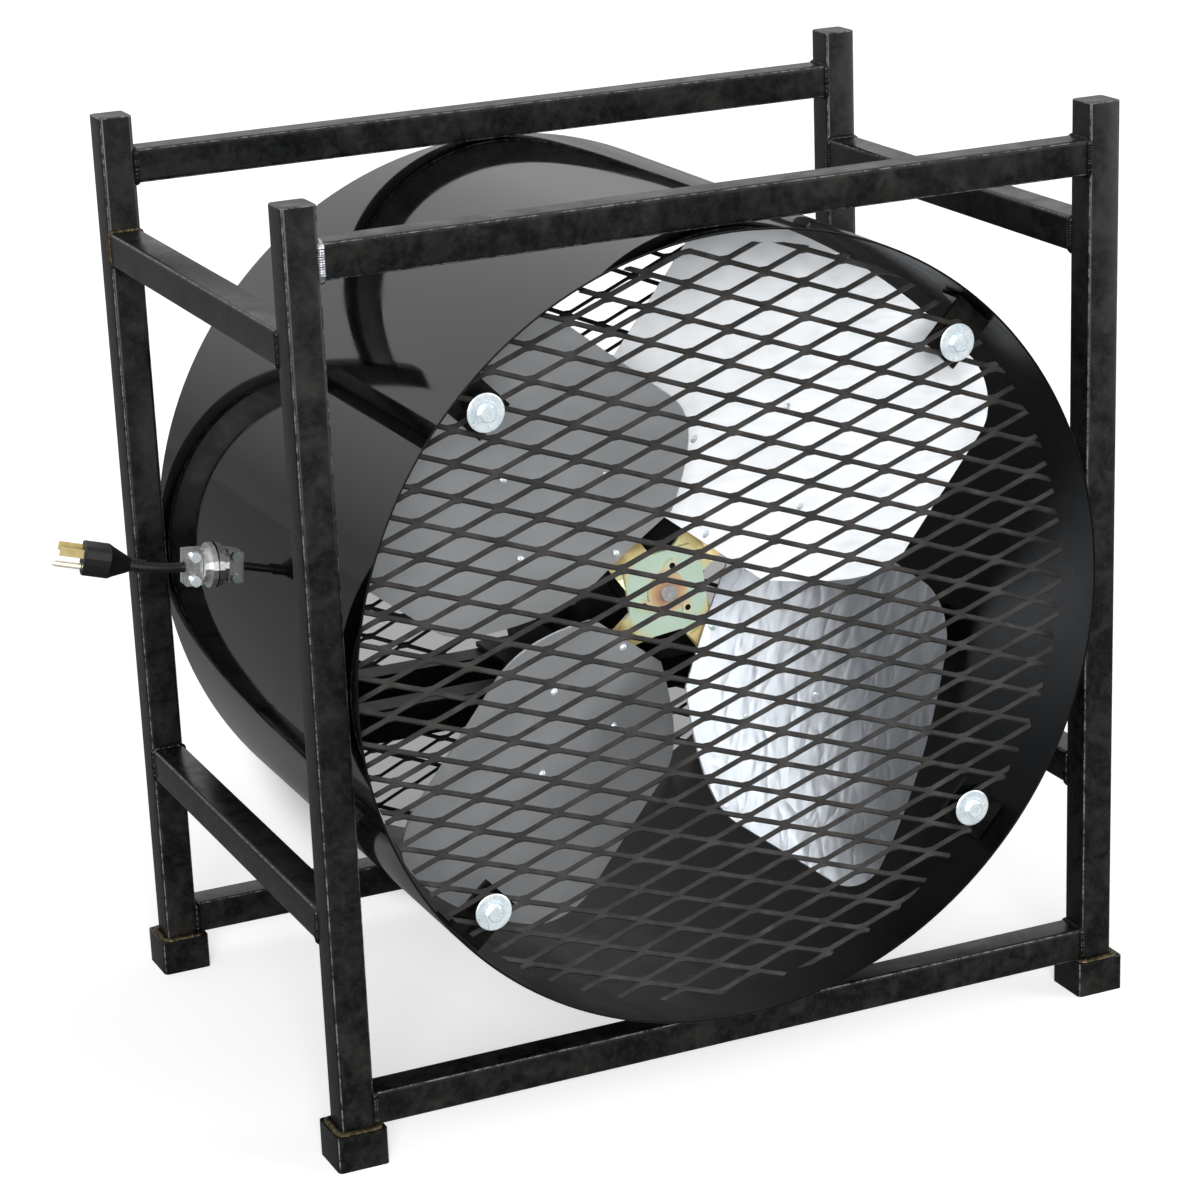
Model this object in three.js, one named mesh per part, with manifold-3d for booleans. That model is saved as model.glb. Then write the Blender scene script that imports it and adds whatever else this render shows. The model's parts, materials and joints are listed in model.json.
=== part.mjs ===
// Drum fan: a round steel drum held in a welded cage of square tube, with a four-blade
// fan on a motor inside it, a sheet of expanded metal bolted over each end, and a short
// power cord.
// Units are millimetres. X runs to the right along the front, Y to the back, Z up. The
// origin lies on the floor, under the middle of the cage and drum taken together.
import * as THREE from 'three';
import { mergeVertices } from 'three/addons/utils/BufferGeometryUtils.js';
import Module from 'manifold-3d';

const wasm = await Module();
wasm.setup();

// ---------------------------------------------------------------- driving dimensions

// Clearances
const seat = 0.3; // left at each welded or bolted seam
const running = 0.3; // round the shaft where it turns in the motor

// Drum
const drumRadius = 287.5; // outside
const drumWall = 1.5;
const drumLength = 420;
const drumOverhang = 13.5; // the front rim stands this far in front of the cage

// Cage of square tube
const tube = 25.4;
const tubeWall = 1.8;
const tubeCorner = 3;
const cageBehindDrum = 4.5; // the cage's rear face stands this far behind the rear rim
const postRise = 25.4; // each post stands this far above the top rails
const footWidth = 38;
const footHeight = 27;
const postInFoot = 10; // the rest of the foot is a socket for a post of the fan below
const upperSideRailDrop = 46.3; // from the top rails' undersides to the side rail's middle
const lowerSideRailRise = 122.3; // from the bottom rails' tops to the side rail's middle

// Expanded metal over both ends
const meshLong = 59; // one diamond, along its long way
const meshShort = 23.9;
const strandWidth = 3.4;
const strandDepth = 7; // from the strands' flat front to the ridge behind
const grilleGap = 11; // from the sheet's edge to the drum's wall
const grilleInset = 15.5; // from the drum's rim to the outer face of the metal
const grilleShift = -6; // the sheets were cut by hand and sit a little to the left
const grilleTilt = 1; // degrees
const crossingShift = 14.1; // from the sheet's middle to the nearest crossing

// Tabs and bolts that hold the expanded metal
const tabWidth = 32;
const tabThickness = 3;
const tabDepth = 24; // the leg welded along the drum's wall
const tabReach = 14; // past the bolt
const boltInset = 29; // from the drum's wall to the middle of each bolt
const boltHeadWidth = 11.1; // across flats
const boltHeadHeight = 4.4;
const boltRadius = 3.2;
const boltBehindTab = 7;
const washerRadius = 13.6;
const washerThickness = 1.6;
const boltAngles = [45.2, 134, 222, 318.5];

// Fan
const hubBehindPosts = 101.6; // from the cage's front face to the blade roots
const fanAngle = 51.3; // of the first blade, from the X axis
const bladeCount = 4;
const bladePitch = 26; // degrees
const bladeThickness = 1.6;
const bladeTipGap = 11; // from the tips to the drum's wall
const bladeRoot = 45; // from the axis to the inner edge
const bladeChord = 254;
const bladeRootChord = 104;
const bladeRootRound = 82; // length over which the blade widens to its full chord
const bladeTipRound = 34;
const bladeCamber = 11;

// Spider, the pressed plate whose arms carry the blades
const spiderThickness = 3;
const spiderPlate = 62; // side of the square in the middle
const spiderPlateCorner = 14;
const armWidth = 32; // at the hub
const palmWidth = 112; // where the blade is riveted
const palmDistance = 104; // from the axis to the widest place
const armReach = 174;
const armStart = 20; // inside the plate
const armTwistStart = 27;

// Hub bushing, set on the shaft
const shaftRadius = 6.35;
const bushingRadius = 15.5;
const bushingLength = 32;
const bushingFlange = 2.5; // thickness
const bushingEarRadius = 20.5; // from the axis to each rivet
const bushingEarRound = 5.5;
const bushingEars = 3;
const firstEarAngle = 79;
const shaftPastHub = 3;

// Motor
const motorRadius = 70;
const motorShellLength = 112;
const motorBellLength = 33;
const motorBellRim = 16; // the straight part of a bell
const motorBellFaceRadius = 50;
const motorBellFaceDish = 3; // from the face's edge to the boss
const motorBossRadius = 21;
const motorBossFlare = 2;
const motorBossHeight = 7;
const motorBellGap = 4; // from the shaft's inner end to the rear bell's closed end
const motorBehindHub = 56; // from the blade roots to the front boss
const shaftHeight = 76.2; // from the base's underside to the axis
const basePlateWidth = 166;
const basePlateLength = 100;
const basePlateThickness = 4;
const basePedestalWidth = 112; // at the plate
const basePedestalTopWidth = 116; // where it takes the shell
const basePedestalEdge = 3; // thickness at the shell
const supportSpacing = 71; // between the two tubes that cross the drum
const supportBehindHub = 123; // from the blade roots to the middle between them

// Cord, connector and plug
const cordRadius = 3.8;
const cordFit = 0.5; // round the cord in its connector
const cordStraight = 26; // from the drum, through the clamp
const cordBend = 25; // length of the slight bend that follows
const cordDrift = 11; // degrees, toward the back
const cordRise = 10; // degrees
const connectorAngle = 175.6; // round the drum, from the X axis
const connectorBehindPosts = 280; // along the drum
const connectorHoleRadius = 11;
const nippleRadius = 10.4;
const nippleInside = 9; // past the drum's inner face
const locknutRadius = 15;
const locknutThickness = 4;
const connectorFlangeRadius = 17;
const connectorFlangeThickness = 4;
const connectorNeckRadius = 12.5;
const connectorNeckLength = 5;
const jawLength = 13;
const jawWidth = 26;
const jawThickness = 6;
const jawGap = 3; // between the two halves
const clampScrewOffset = 9.2; // from the cord to each screw
const clampScrewRadius = 2;
const clampScrewHeadRadius = 3.9;
const clampScrewHeadHeight = 3.2;
const clampScrewLength = 19;
const plugReliefLength = 12.7;
const plugReliefRadius = 5.2;
const plugReliefRibs = 4;
const plugGrooveDepth = 0.9;
const plugNeckLength = 10.4;
const plugNeckStartShare = 0.1; // of the way from the sleeve to the body's section
const plugNeckShare = 0.7; // the same, at the thick end of the neck
const plugFaceShare = 0.9; // the same, at the face
const plugShoulderLength = 3.8;
const plugBodyLength = 19.4;
const plugBodyWidth = 25;
const plugBodyHeight = 23.4;
const plugEdge = 1; // the rounding round its face
const plugTopSquareness = 6; // the power of the section's upper half; 2 is an ellipse
const plugBottomSquareness = 2.6;
const plugRoll = 6; // degrees, the turn in which the plug has come to rest
const prongLength = 17.5;
const prongWidth = 6.3;
const prongThickness = 1.5;
const prongSpacing = 12.7;
const prongRaise = 5.5; // of the two flat prongs above the plug's middle
const groundPinLength = 21;
const groundPinRadius = 2.4;
const groundPinTipRadius = 1.4;
const groundPinDrop = 6.4; // below the plug's middle

// ---------------------------------------------------------------- sizes worked out

const radians = THREE.MathUtils.degToRad;
const tubeBore = tube - 2 * tubeWall;
const drumInner = drumRadius - drumWall;
const grilleRadius = drumInner - grilleGap;
const boltCircleRadius = drumInner - boltInset;
const bladeTipRadius = drumInner - bladeTipGap;
const cageDepth = drumLength - drumOverhang + cageBehindDrum;
const drumSides = 64;
const drumInnerFlat = drumInner * Math.cos(Math.PI / drumSides); // to the middle of a facet
const cageHalfWidth = drumRadius + seat + tube;
const footOverhang = (footWidth - tube) / 2;
const frontRimY = -(drumOverhang + cageDepth + footOverhang) / 2;
const rearRimY = frontRimY + drumLength;
const cageFrontY = frontRimY + drumOverhang;
const cageRearY = cageFrontY + cageDepth;
const bottomRailZ = footHeight + seat;
const drumZ = bottomRailZ + tube + seat + drumRadius;
const topRailZ = drumZ + drumRadius + seat;
const postTopZ = topRailZ + tube + postRise;
const hubY = cageFrontY + hubBehindPosts;
const motorFrontY = hubY + motorBehindHub;
const shellFrontY = motorFrontY + motorBossHeight + motorBellLength;
const shellRearY = shellFrontY + motorShellLength;
const baseBottomZ = drumZ - shaftHeight;
const supportMidY = hubY + supportBehindHub;
const shaftBoreRadius = shaftRadius + running;

// ---------------------------------------------------------------- materials

const finish = (color, roughness, metalness) =>
  new THREE.MeshStandardMaterial({ color, roughness, metalness });
const cagePaint = finish(0x1b1c1d, 0.45, 0);
const drumPaint = finish(0x141617, 0.12, 0);
const meshPaint = finish(0x202122, 0.55, 0);
const zincPlate = finish(0xc4cdd2, 0.3, 1);
const yellowZinc = finish(0xb8b07a, 0.35, 1);
const bareAluminium = finish(0xc9cccf, 0.35, 1);
const copperySteel = finish(0xa2683c, 0.45, 1);
const groundSteel = finish(0x9a9c9e, 0.3, 1);
const motorPaint = finish(0x17181a, 0.5, 0);
const cordRubber = finish(0x18181a, 0.6, 0);
const brass = finish(0xcdb36a, 0.3, 1);

// ---------------------------------------------------------------- solids

const sameCorner = 1e-5; // corners closer than this are one corner

// A geometry with only its positions, and each shared corner held once.
function welded(geometry) {
  const bare = geometry.clone();
  bare.deleteAttribute('normal');
  bare.deleteAttribute('uv');
  return mergeVertices(bare, sameCorner);
}

function solid(geometry) {
  const bare = welded(geometry);
  return new wasm.Manifold(
    new wasm.Mesh({
      numProp: 3,
      vertProperties: new Float32Array(bare.attributes.position.array),
      triVerts: new Uint32Array(bare.index.array),
    }),
  );
}

function geometryOf(body) {
  const { vertProperties, triVerts } = body.getMesh();
  const geometry = new THREE.BufferGeometry();
  geometry.setAttribute('position', new THREE.BufferAttribute(vertProperties, 3));
  geometry.setIndex(new THREE.BufferAttribute(triVerts, 1));
  geometry.computeVertexNormals();
  return geometry;
}

const joined = (...geometries) => geometryOf(geometries.map(solid).reduce((a, b) => a.add(b)));
const cut = (geometry, ...tools) =>
  geometryOf(tools.map(solid).reduce((body, tool) => body.subtract(tool), solid(geometry)));
const common = (a, b) => geometryOf(solid(a).intersect(solid(b)));

// A cylinder along Y from one place to another.
function roundBarY(radius, fromY, toY, sides) {
  const bar = new THREE.CylinderGeometry(radius, radius, toY - fromY, sides);
  return bar.translate(0, (fromY + toY) / 2, 0);
}

// A solid of revolution about Y, from a closed outline of [radius, y] corners.
function turnedY(outline, sides) {
  const points = outline.map(([r, y]) => new THREE.Vector2(r, y));
  const isRing = outline.every(([r]) => r > 0);
  if (isRing) points.push(points[0].clone());
  return new THREE.LatheGeometry(points, sides);
}

// Turns what was made along Y to lie along X.
const alongX = (geometry) => geometry.rotateZ(-Math.PI / 2);

function outlineOf(corners) {
  return new THREE.Shape(corners.map(([x, y]) => new THREE.Vector2(x, y)));
}

function square(width) {
  const half = width / 2;
  return outlineOf([[half, half], [-half, half], [-half, -half], [half, -half]]);
}

// A square whose rounded corners are drawn as one flat each.
function softSquare(width, corner) {
  const half = width / 2;
  const flat = half - corner * (2 - Math.SQRT2);
  return outlineOf([
    [half, flat], [flat, half], [-flat, half], [-half, flat],
    [-half, -flat], [-flat, -half], [flat, -half], [half, -flat],
  ]);
}

// curveSegments sets how finely the rounded corners are drawn.
function extruded(shape, depth, curveSegments = 1) {
  return new THREE.ExtrudeGeometry(shape, { depth, bevelEnabled: false, curveSegments });
}

const fan = new THREE.Group();

function place(name, geometry, material, parent = fan) {
  const mesh = new THREE.Mesh(geometry, material);
  mesh.name = name;
  parent.add(mesh);
  return mesh;
}

// ---------------------------------------------------------------- cage

// A length of square tube along Z, open at both ends.
function squareTube(length) {
  const outline = softSquare(tube, tubeCorner);
  outline.holes.push(square(tubeBore));
  return extruded(outline, length);
}

// A post is closed at the top by a welded plate and open at the bottom, inside its foot.
function makePost() {
  const length = postTopZ - (footHeight - postInFoot);
  const bar = extruded(softSquare(tube, tubeCorner), length);
  return cut(bar, extruded(square(tubeBore), length).translate(0, 0, -tubeWall));
}

// A foot is a sleeve of larger tube, welded round the post's end.
function makeFoot() {
  const outline = softSquare(footWidth, tubeCorner);
  outline.holes.push(square(tube + 2 * seat));
  return extruded(outline, footHeight);
}

const postX = cageHalfWidth - tube / 2;
const postFrontY = cageFrontY + tube / 2;
const postRearY = cageRearY - tube / 2;
const sides = { left: -1, right: 1 };
const ends = { front: postFrontY, rear: postRearY };

for (const [endName, y] of Object.entries(ends)) {
  for (const [sideName, side] of Object.entries(sides)) {
    const post = place(`post_${endName}_${sideName}`, makePost(), cagePaint);
    post.position.set(side * postX, y, footHeight - postInFoot);
    const foot = place(`foot_${endName}_${sideName}`, makeFoot(), cagePaint);
    foot.position.set(side * postX, y, 0);
  }
  const crossLength = 2 * (cageHalfWidth - tube - seat);
  for (const [levelName, z] of Object.entries({ top: topRailZ, bottom: bottomRailZ })) {
    const rail = place(`rail_${levelName}_${endName}`, squareTube(crossLength), cagePaint);
    rail.rotation.y = Math.PI / 2;
    rail.position.set(-crossLength / 2, y, z + tube / 2);
  }
}

for (const [sideName, side] of Object.entries(sides)) {
  const sideLength = cageDepth - 2 * (tube + seat);
  const levels = {
    upper: topRailZ - upperSideRailDrop,
    lower: bottomRailZ + tube + lowerSideRailRise,
  };
  for (const [levelName, z] of Object.entries(levels)) {
    const rail = place(`side_rail_${levelName}_${sideName}`, squareTube(sideLength), cagePaint);
    rail.rotation.x = -Math.PI / 2;
    rail.position.set(side * postX, cageFrontY + tube + seat, z);
  }
}

// ---------------------------------------------------------------- drum

const connectorDirection = new THREE.Vector3(
  Math.cos(radians(connectorAngle)),
  0,
  Math.sin(radians(connectorAngle)),
);
const connectorY = cageFrontY + connectorBehindPosts;

function makeDrum() {
  const wall = turnedY(
    [
      [drumInner, frontRimY],
      [drumRadius, frontRimY],
      [drumRadius, rearRimY],
      [drumInner, rearRimY],
    ],
    drumSides,
  );
  const reach = connectorHoleRadius * 2;
  const hole = alongX(roundBarY(connectorHoleRadius, drumRadius - reach, drumRadius + reach, 16));
  hole.rotateY(-radians(connectorAngle)).translate(0, connectorY, 0);
  return cut(wall, hole);
}

place('drum_shell', makeDrum(), drumPaint).position.z = drumZ;

// ---------------------------------------------------------------- expanded metal

// Expanded metal is one sheet, slit and stretched, so its openings are diamonds in rows
// that step half a diamond sideways. Each strand is flat in front and has a ridge behind.
// Crossings and diamonds are counted along the two directions of the strands, p upward
// and q downward to the right, and diamond (p, q) lies just to the right of crossing
// (p, q). Corners go round each face anticlockwise, as seen from outside.
function makeNet(reach) {
  const spacing = meshLong * Math.sin(Math.atan2(meshShort, meshLong));
  const openShare = 1 - strandWidth / spacing;
  const last = Math.ceil(reach / spacing);
  const at = (p, q) =>
    new THREE.Vector3(((p + q) * meshLong) / 2, 0, ((p - q) * meshShort) / 2);
  const ridge = (p, q) => at(p, q).setY(strandDepth);
  const hasOpening = (p, q) => Math.max(Math.abs(p + 0.5), Math.abs(q + 0.5)) < last;
  const corners = [];

  // The corner of a diamond's opening that points to one of its crossings. Past the
  // net's last row there are no openings, and the face ends at the crossing itself.
  function corner([p, q], crossing) {
    const end = at(...crossing);
    return hasOpening(p, q) ? at(p + 0.5, q + 0.5).lerp(end, openShare) : end;
  }

  function face(a, b, c, d) {
    for (const triangle of [[a, b, c], [a, c, d]]) {
      const [i, j, k] = triangle;
      if (i.equals(j) || j.equals(k) || k.equals(i)) continue;
      triangle.forEach((point) => corners.push(point.x, point.y, point.z));
    }
  }

  function strand(start, end, above, below) {
    const upper = [corner(above, start), corner(above, end)];
    const lower = [corner(below, start), corner(below, end)];
    const back = [ridge(...start), ridge(...end)];
    face(lower[0], lower[1], upper[1], upper[0]);
    face(upper[0], upper[1], back[1], back[0]);
    face(lower[1], lower[0], back[0], back[1]);
  }

  for (let p = -last; p <= last; p++) {
    for (let q = -last; q <= last; q++) {
      const here = [p, q];
      const [right, up, left, down] = [here, [p, q - 1], [p - 1, q - 1], [p - 1, q]];
      face(corner(right, here), corner(up, here), corner(left, here), corner(down, here));
      if (p < last) strand(here, [p + 1, q], up, right);
      if (q < last) strand(here, [p, q + 1], right, down);
    }
  }
  const net = new THREE.BufferGeometry();
  net.setAttribute('position', new THREE.Float32BufferAttribute(corners, 3));
  return net;
}

// A round sheet cut from the net and drilled for its bolts. The origin is on the drum's
// axis, at the sheet's front.
function makeGrille() {
  const net = makeNet(grilleRadius + meshLong).translate(crossingShift, 0, 0);
  net.rotateY(-radians(grilleTilt)).translate(grilleShift, 0, 0);
  const disc = roundBarY(grilleRadius, -strandDepth, 2 * strandDepth, drumSides);
  const holes = boltAngles.map((angle) => {
    const hole = roundBarY(boltRadius + seat, -strandDepth, 2 * strandDepth, 8);
    return hole.translate(boltCircleRadius, 0, 0).rotateY(-radians(angle));
  });
  const pieces = solid(cut(common(net, disc.translate(grilleShift, 0, 0)), ...holes)).decompose();
  // Trimming can cut a short strand free at the edge, and a free strand falls off.
  return geometryOf(pieces.reduce((a, b) => (b.volume() > a.volume() ? b : a)));
}

// An angle tab: one leg lies along the drum's wall, the other carries the sheet. Its
// flat outer leg touches the round wall at its two edges.
const tabWallRadius = Math.sqrt((drumInnerFlat - seat) ** 2 - (tabWidth / 2) ** 2);

function makeTab() {
  const inner = boltCircleRadius - tabReach;
  const profile = outlineOf([
    [inner, 0],
    [tabWallRadius, 0],
    [tabWallRadius, tabDepth],
    [tabWallRadius - tabThickness, tabDepth],
    [tabWallRadius - tabThickness, tabThickness],
    [inner, tabThickness],
  ]);
  const tab = extruded(profile, tabWidth).translate(0, 0, -tabWidth / 2);
  const hole = roundBarY(boltRadius + seat, -tabThickness, 2 * tabThickness, 8);
  return cut(tab, hole.translate(boltCircleRadius, 0, 0));
}

// A hexagon-head bolt with its wide washer. Y = 0 is the washer's seat.
function makeBolt() {
  const shankEnd = strandDepth + tabThickness + boltBehindTab;
  const washer = roundBarY(washerRadius, -washerThickness, 0, 14);
  const headRadius = boltHeadWidth / 2 / Math.cos(Math.PI / 6);
  const head = roundBarY(headRadius, -washerThickness - boltHeadHeight, -washerThickness / 2, 6);
  const shank = roundBarY(boltRadius, -washerThickness / 2, shankEnd, 6);
  return joined(washer, head, shank);
}

// Both ends of the drum are closed alike. The rear end is the front end turned half round.
const grille = makeGrille();
const closures = {
  front: { y: frontRimY + grilleInset, turn: 0 },
  rear: { y: rearRimY - grilleInset, turn: Math.PI },
};
for (const [endName, { y, turn }] of Object.entries(closures)) {
  const closure = new THREE.Group();
  closure.position.set(0, y, drumZ);
  closure.rotation.z = turn;
  fan.add(closure);
  place(`grille_${endName}`, grille, meshPaint, closure);
  boltAngles.forEach((angle, index) => {
    const spoke = new THREE.Group();
    spoke.rotation.y = -radians(angle);
    closure.add(spoke);
    const tab = place(`tab_${endName}_${index + 1}`, makeTab(), cagePaint, spoke);
    tab.position.y = strandDepth + seat;
    const bolt = place(`bolt_${endName}_${index + 1}`, makeBolt(), zincPlate, spoke);
    bolt.position.set(boltCircleRadius, -seat, 0);
  });
}

// ---------------------------------------------------------------- fan wheel

const pitch = radians(bladePitch);
const halfChord = bladeChord / 2;
// The middle of the spider's flat plate, level with the arms where they leave it.
const spiderPlateY = bladeCamber * Math.cos(pitch) - spiderThickness;

// A point of the pitched and cambered blade: along is the distance from the axis, across
// runs along the chord, and above is the height in front of the sheet's middle.
function onBlade(along, across, above) {
  const dip = bladeCamber * (1 - (across / halfChord) ** 2);
  const height = above - dip;
  return new THREE.Vector3(
    along,
    across * Math.sin(pitch) - height * Math.cos(pitch),
    across * Math.cos(pitch) + height * Math.sin(pitch),
  );
}

// From the axis outward, the blade widens quickly from its root and is rounded at its tip.
function bladeHalfWidth(along) {
  const rootHalf = bladeRootChord / 2;
  const beforeFull = Math.max(0, (bladeRoot + bladeRootRound - along) / bladeRootRound);
  const intoTip = Math.max(0, along - (bladeTipRadius - bladeTipRound));
  const rise = 1 - beforeFull ** 2;
  const corner = bladeTipRound - Math.sqrt(Math.max(0, bladeTipRound ** 2 - intoTip ** 2));
  return rootHalf + (halfChord - rootHalf) * rise - corner;
}

// A sheet of even thickness: a flat box of small squares, bent by the given function of
// (share along, share across, side), each of them from -1 to 1.
function bentSheet(alongSteps, acrossSteps, bend) {
  const sheet = new THREE.BoxGeometry(2, 2, 2, alongSteps, acrossSteps, 1);
  const position = sheet.attributes.position;
  for (let k = 0; k < position.count; k++) {
    const point = bend(position.getX(k), position.getY(k), position.getZ(k));
    position.setXYZ(k, point.x, point.y, point.z);
  }
  sheet.computeVertexNormals();
  return sheet;
}

function makeBlade() {
  return bentSheet(10, 4, (u, v, w) => {
    const share = (1 + Math.sin((u * Math.PI) / 2)) / 2; // closer steps at both ends
    const along = bladeRoot + (bladeTipRadius - bladeRoot) * share;
    const across = bladeHalfWidth(along) * v;
    const tip = Math.sqrt(bladeTipRadius ** 2 - (across * Math.cos(pitch)) ** 2);
    const trimmed = bladeRoot + ((along - bladeRoot) * (tip - bladeRoot)) / (bladeTipRadius - bladeRoot);
    return onBlade(trimmed, across, (w * bladeThickness) / 2);
  });
}

// An arm runs out from the flat plate, twists to the blade's pitch and spreads into the
// palm that the blade is riveted to.
function makeArm() {
  const { lerp, smoothstep } = THREE.MathUtils;
  const behind = -(bladeThickness / 2 + seat + spiderThickness / 2);
  const stations = [
    armStart,
    armTwistStart,
    (armTwistStart + bladeRoot) / 2,
    bladeRoot,
    lerp(bladeRoot, palmDistance, 1 / 3),
    lerp(bladeRoot, palmDistance, 2 / 3),
    palmDistance,
    armReach,
  ];
  const last = stations.length - 1;
  return bentSheet(last, 2, (u, v, w) => {
    const along = stations[Math.round(((1 + u) / 2) * last)];
    const spread = smoothstep(along, bladeRoot, palmDistance);
    const narrowing = Math.max(0, (along - palmDistance) / (armReach - palmDistance));
    const widest = lerp(armWidth, palmWidth, spread);
    const across = (lerp(widest, armWidth, narrowing) / 2) * v;
    const side = (w * spiderThickness) / 2;
    const pitched = onBlade(along, across, behind + side);
    const flat = new THREE.Vector3(along, spiderPlateY - side, across);
    return flat.lerp(pitched, smoothstep(along, armTwistStart, bladeRoot));
  });
}

function makeSpider() {
  const outline = softSquare(spiderPlate, spiderPlateCorner);
  const plate = extruded(outline, spiderThickness).rotateX(Math.PI / 2);
  plate.rotateY(Math.PI / bladeCount);
  plate.translate(0, spiderPlateY + spiderThickness / 2, 0);
  const parts = [plate];
  for (let k = 0; k < bladeCount; k++) {
    parts.push(makeArm().rotateY((2 * Math.PI * k) / bladeCount));
  }
  const boreEnds = 4 * spiderThickness;
  const bore = roundBarY(bushingRadius + seat, spiderPlateY - boreEnds, spiderPlateY + boreEnds, 16);
  return cut(joined(...parts), bore);
}

// The bushing passes through the plate from the front. Its ears are riveted to the plate.
function makeBushing() {
  const flangeBack = spiderPlateY - spiderThickness / 2 - seat;
  const flangeFront = flangeBack - bushingFlange;
  const parts = [roundBarY(bushingRadius, flangeFront, flangeFront + bushingLength, 16)];
  for (let k = 0; k < bushingEars; k++) {
    const ear = new THREE.Shape();
    ear.moveTo(0, -bushingRadius);
    ear.absarc(bushingEarRadius, 0, bushingEarRound, -Math.PI / 2, Math.PI / 2);
    ear.lineTo(0, bushingRadius);
    const plate = extruded(ear, bushingFlange, 2).rotateX(Math.PI / 2).translate(0, flangeBack, 0);
    parts.push(plate.rotateY(-radians(firstEarAngle) - (2 * Math.PI * k) / bushingEars));
  }
  const bore = roundBarY(shaftRadius + seat, flangeFront - seat, flangeFront + 2 * bushingLength, 12);
  return cut(joined(...parts), bore);
}

const wheel = new THREE.Group();
wheel.position.set(0, hubY, drumZ);
fan.add(wheel);
const turned = new THREE.Group();
turned.rotation.y = -radians(fanAngle);
wheel.add(turned);
place('fan_spider', makeSpider(), yellowZinc, turned);
for (let k = 0; k < bladeCount; k++) {
  const blade = place(`blade_${k + 1}`, makeBlade(), bareAluminium, turned);
  blade.rotation.y = (-2 * Math.PI * k) / bladeCount;
}
place('hub_bushing', makeBushing(), copperySteel, wheel);

// ---------------------------------------------------------------- motor

const motorSides = 24;
const motor = new THREE.Group();
motor.position.z = drumZ;
fan.add(motor);

const shaftFrontY = hubY + spiderPlateY - spiderThickness / 2 - seat - bushingFlange - shaftPastHub;
const rearBellY = shellRearY + seat;
const shaftRearY = rearBellY + motorBellLength / 2;
place('motor_shaft', roundBarY(shaftRadius, shaftFrontY, shaftRearY, 16), groundSteel, motor);

const shell = turnedY(
  [
    [shaftBoreRadius, shellFrontY + seat],
    [motorRadius, shellFrontY + seat],
    [motorRadius, shellRearY],
    [shaftBoreRadius, shellRearY],
  ],
  motorSides,
);
place('motor_shell', shell, motorPaint, motor);

// The outline that both bells share, from the shell outward to the bearing boss.
function bellOutline(shellEndY, outward) {
  return [
    [motorRadius, 0],
    [motorRadius, motorBellRim],
    [motorBellFaceRadius, motorBellLength - motorBellFaceDish],
    [motorBossRadius + motorBossFlare, motorBellLength],
    [motorBossRadius, motorBellLength + motorBossHeight],
  ].map(([r, y]) => [r, shellEndY + outward * y]);
}

// The front bell is bored right through for the shaft.
const frontBell = turnedY(
  [
    [shaftBoreRadius, motorFrontY],
    ...bellOutline(shellFrontY, -1).reverse(),
    [shaftBoreRadius, shellFrontY],
  ],
  motorSides,
);
place('motor_bell_front', frontBell, motorPaint, motor);

// The rear bell is closed, with a blind bore for the shaft's end.
const rearBell = turnedY(
  [
    [0, shaftRearY + motorBellGap],
    [shaftBoreRadius, shaftRearY + motorBellGap],
    [shaftBoreRadius, rearBellY],
    ...bellOutline(rearBellY, 1),
    [0, rearBellY + motorBellLength + motorBossHeight],
  ],
  motorSides,
);
place('motor_bell_rear', rearBell, motorPaint, motor);

// The base is a folded saddle: a flat plate with a pedestal that takes the round shell.
function makeBase() {
  const cradle = motorRadius + seat;
  const bottom = baseBottomZ - drumZ;
  const plateTop = bottom + basePlateThickness;
  const spread = Math.asin(basePedestalTopWidth / 2 / cradle);
  const rimX = basePedestalTopWidth / 2;
  const rimZ = -cradle * Math.cos(spread);
  const profile = new THREE.Shape();
  profile.moveTo(-basePlateWidth / 2, bottom);
  profile.lineTo(basePlateWidth / 2, bottom);
  profile.lineTo(basePlateWidth / 2, plateTop);
  profile.lineTo(basePedestalWidth / 2, plateTop);
  profile.lineTo(rimX + basePedestalEdge, rimZ);
  profile.lineTo(rimX, rimZ);
  profile.absarc(0, 0, cradle, spread - Math.PI / 2, -spread - Math.PI / 2, true);
  profile.lineTo(-rimX - basePedestalEdge, rimZ);
  profile.lineTo(-basePedestalWidth / 2, plateTop);
  profile.lineTo(-basePlateWidth / 2, plateTop);
  const base = extruded(profile, basePlateLength, 12);
  base.rotateX(Math.PI / 2);
  return base.translate(0, supportMidY + basePlateLength / 2, 0);
}
place('motor_base', makeBase(), motorPaint, motor);

// Two tubes cross the drum under the motor, with ends shaped to the round wall.
function makeSupport(y) {
  const length = 2 * drumRadius;
  const bar = squareTube(length).rotateY(Math.PI / 2);
  bar.translate(-length / 2, y, baseBottomZ - seat - tube / 2 - drumZ);
  return common(bar, roundBarY(drumInner - seat, y - tube, y + tube, drumSides));
}
place('motor_support_front', makeSupport(supportMidY - supportSpacing / 2), cagePaint, motor);
place('motor_support_rear', makeSupport(supportMidY + supportSpacing / 2), cagePaint, motor);

// ---------------------------------------------------------------- cord connector

// The connector's own frame: X points out of the drum, Y to the back, and the drum's
// outer face is at X = 0.
const connector = new THREE.Group();
connector.position.copy(connectorDirection).multiplyScalar(drumRadius);
connector.position.y = connectorY;
connector.position.z += drumZ;
connector.rotation.y = -radians(connectorAngle);
fan.add(connector);

const cordBore = cordRadius + cordFit;
const neckEnd = seat + connectorFlangeThickness + connectorNeckLength;
const clampScrewX = neckEnd + jawLength / 2;
const plugLength = plugReliefLength + plugNeckLength + plugShoulderLength + plugBodyLength;

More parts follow.
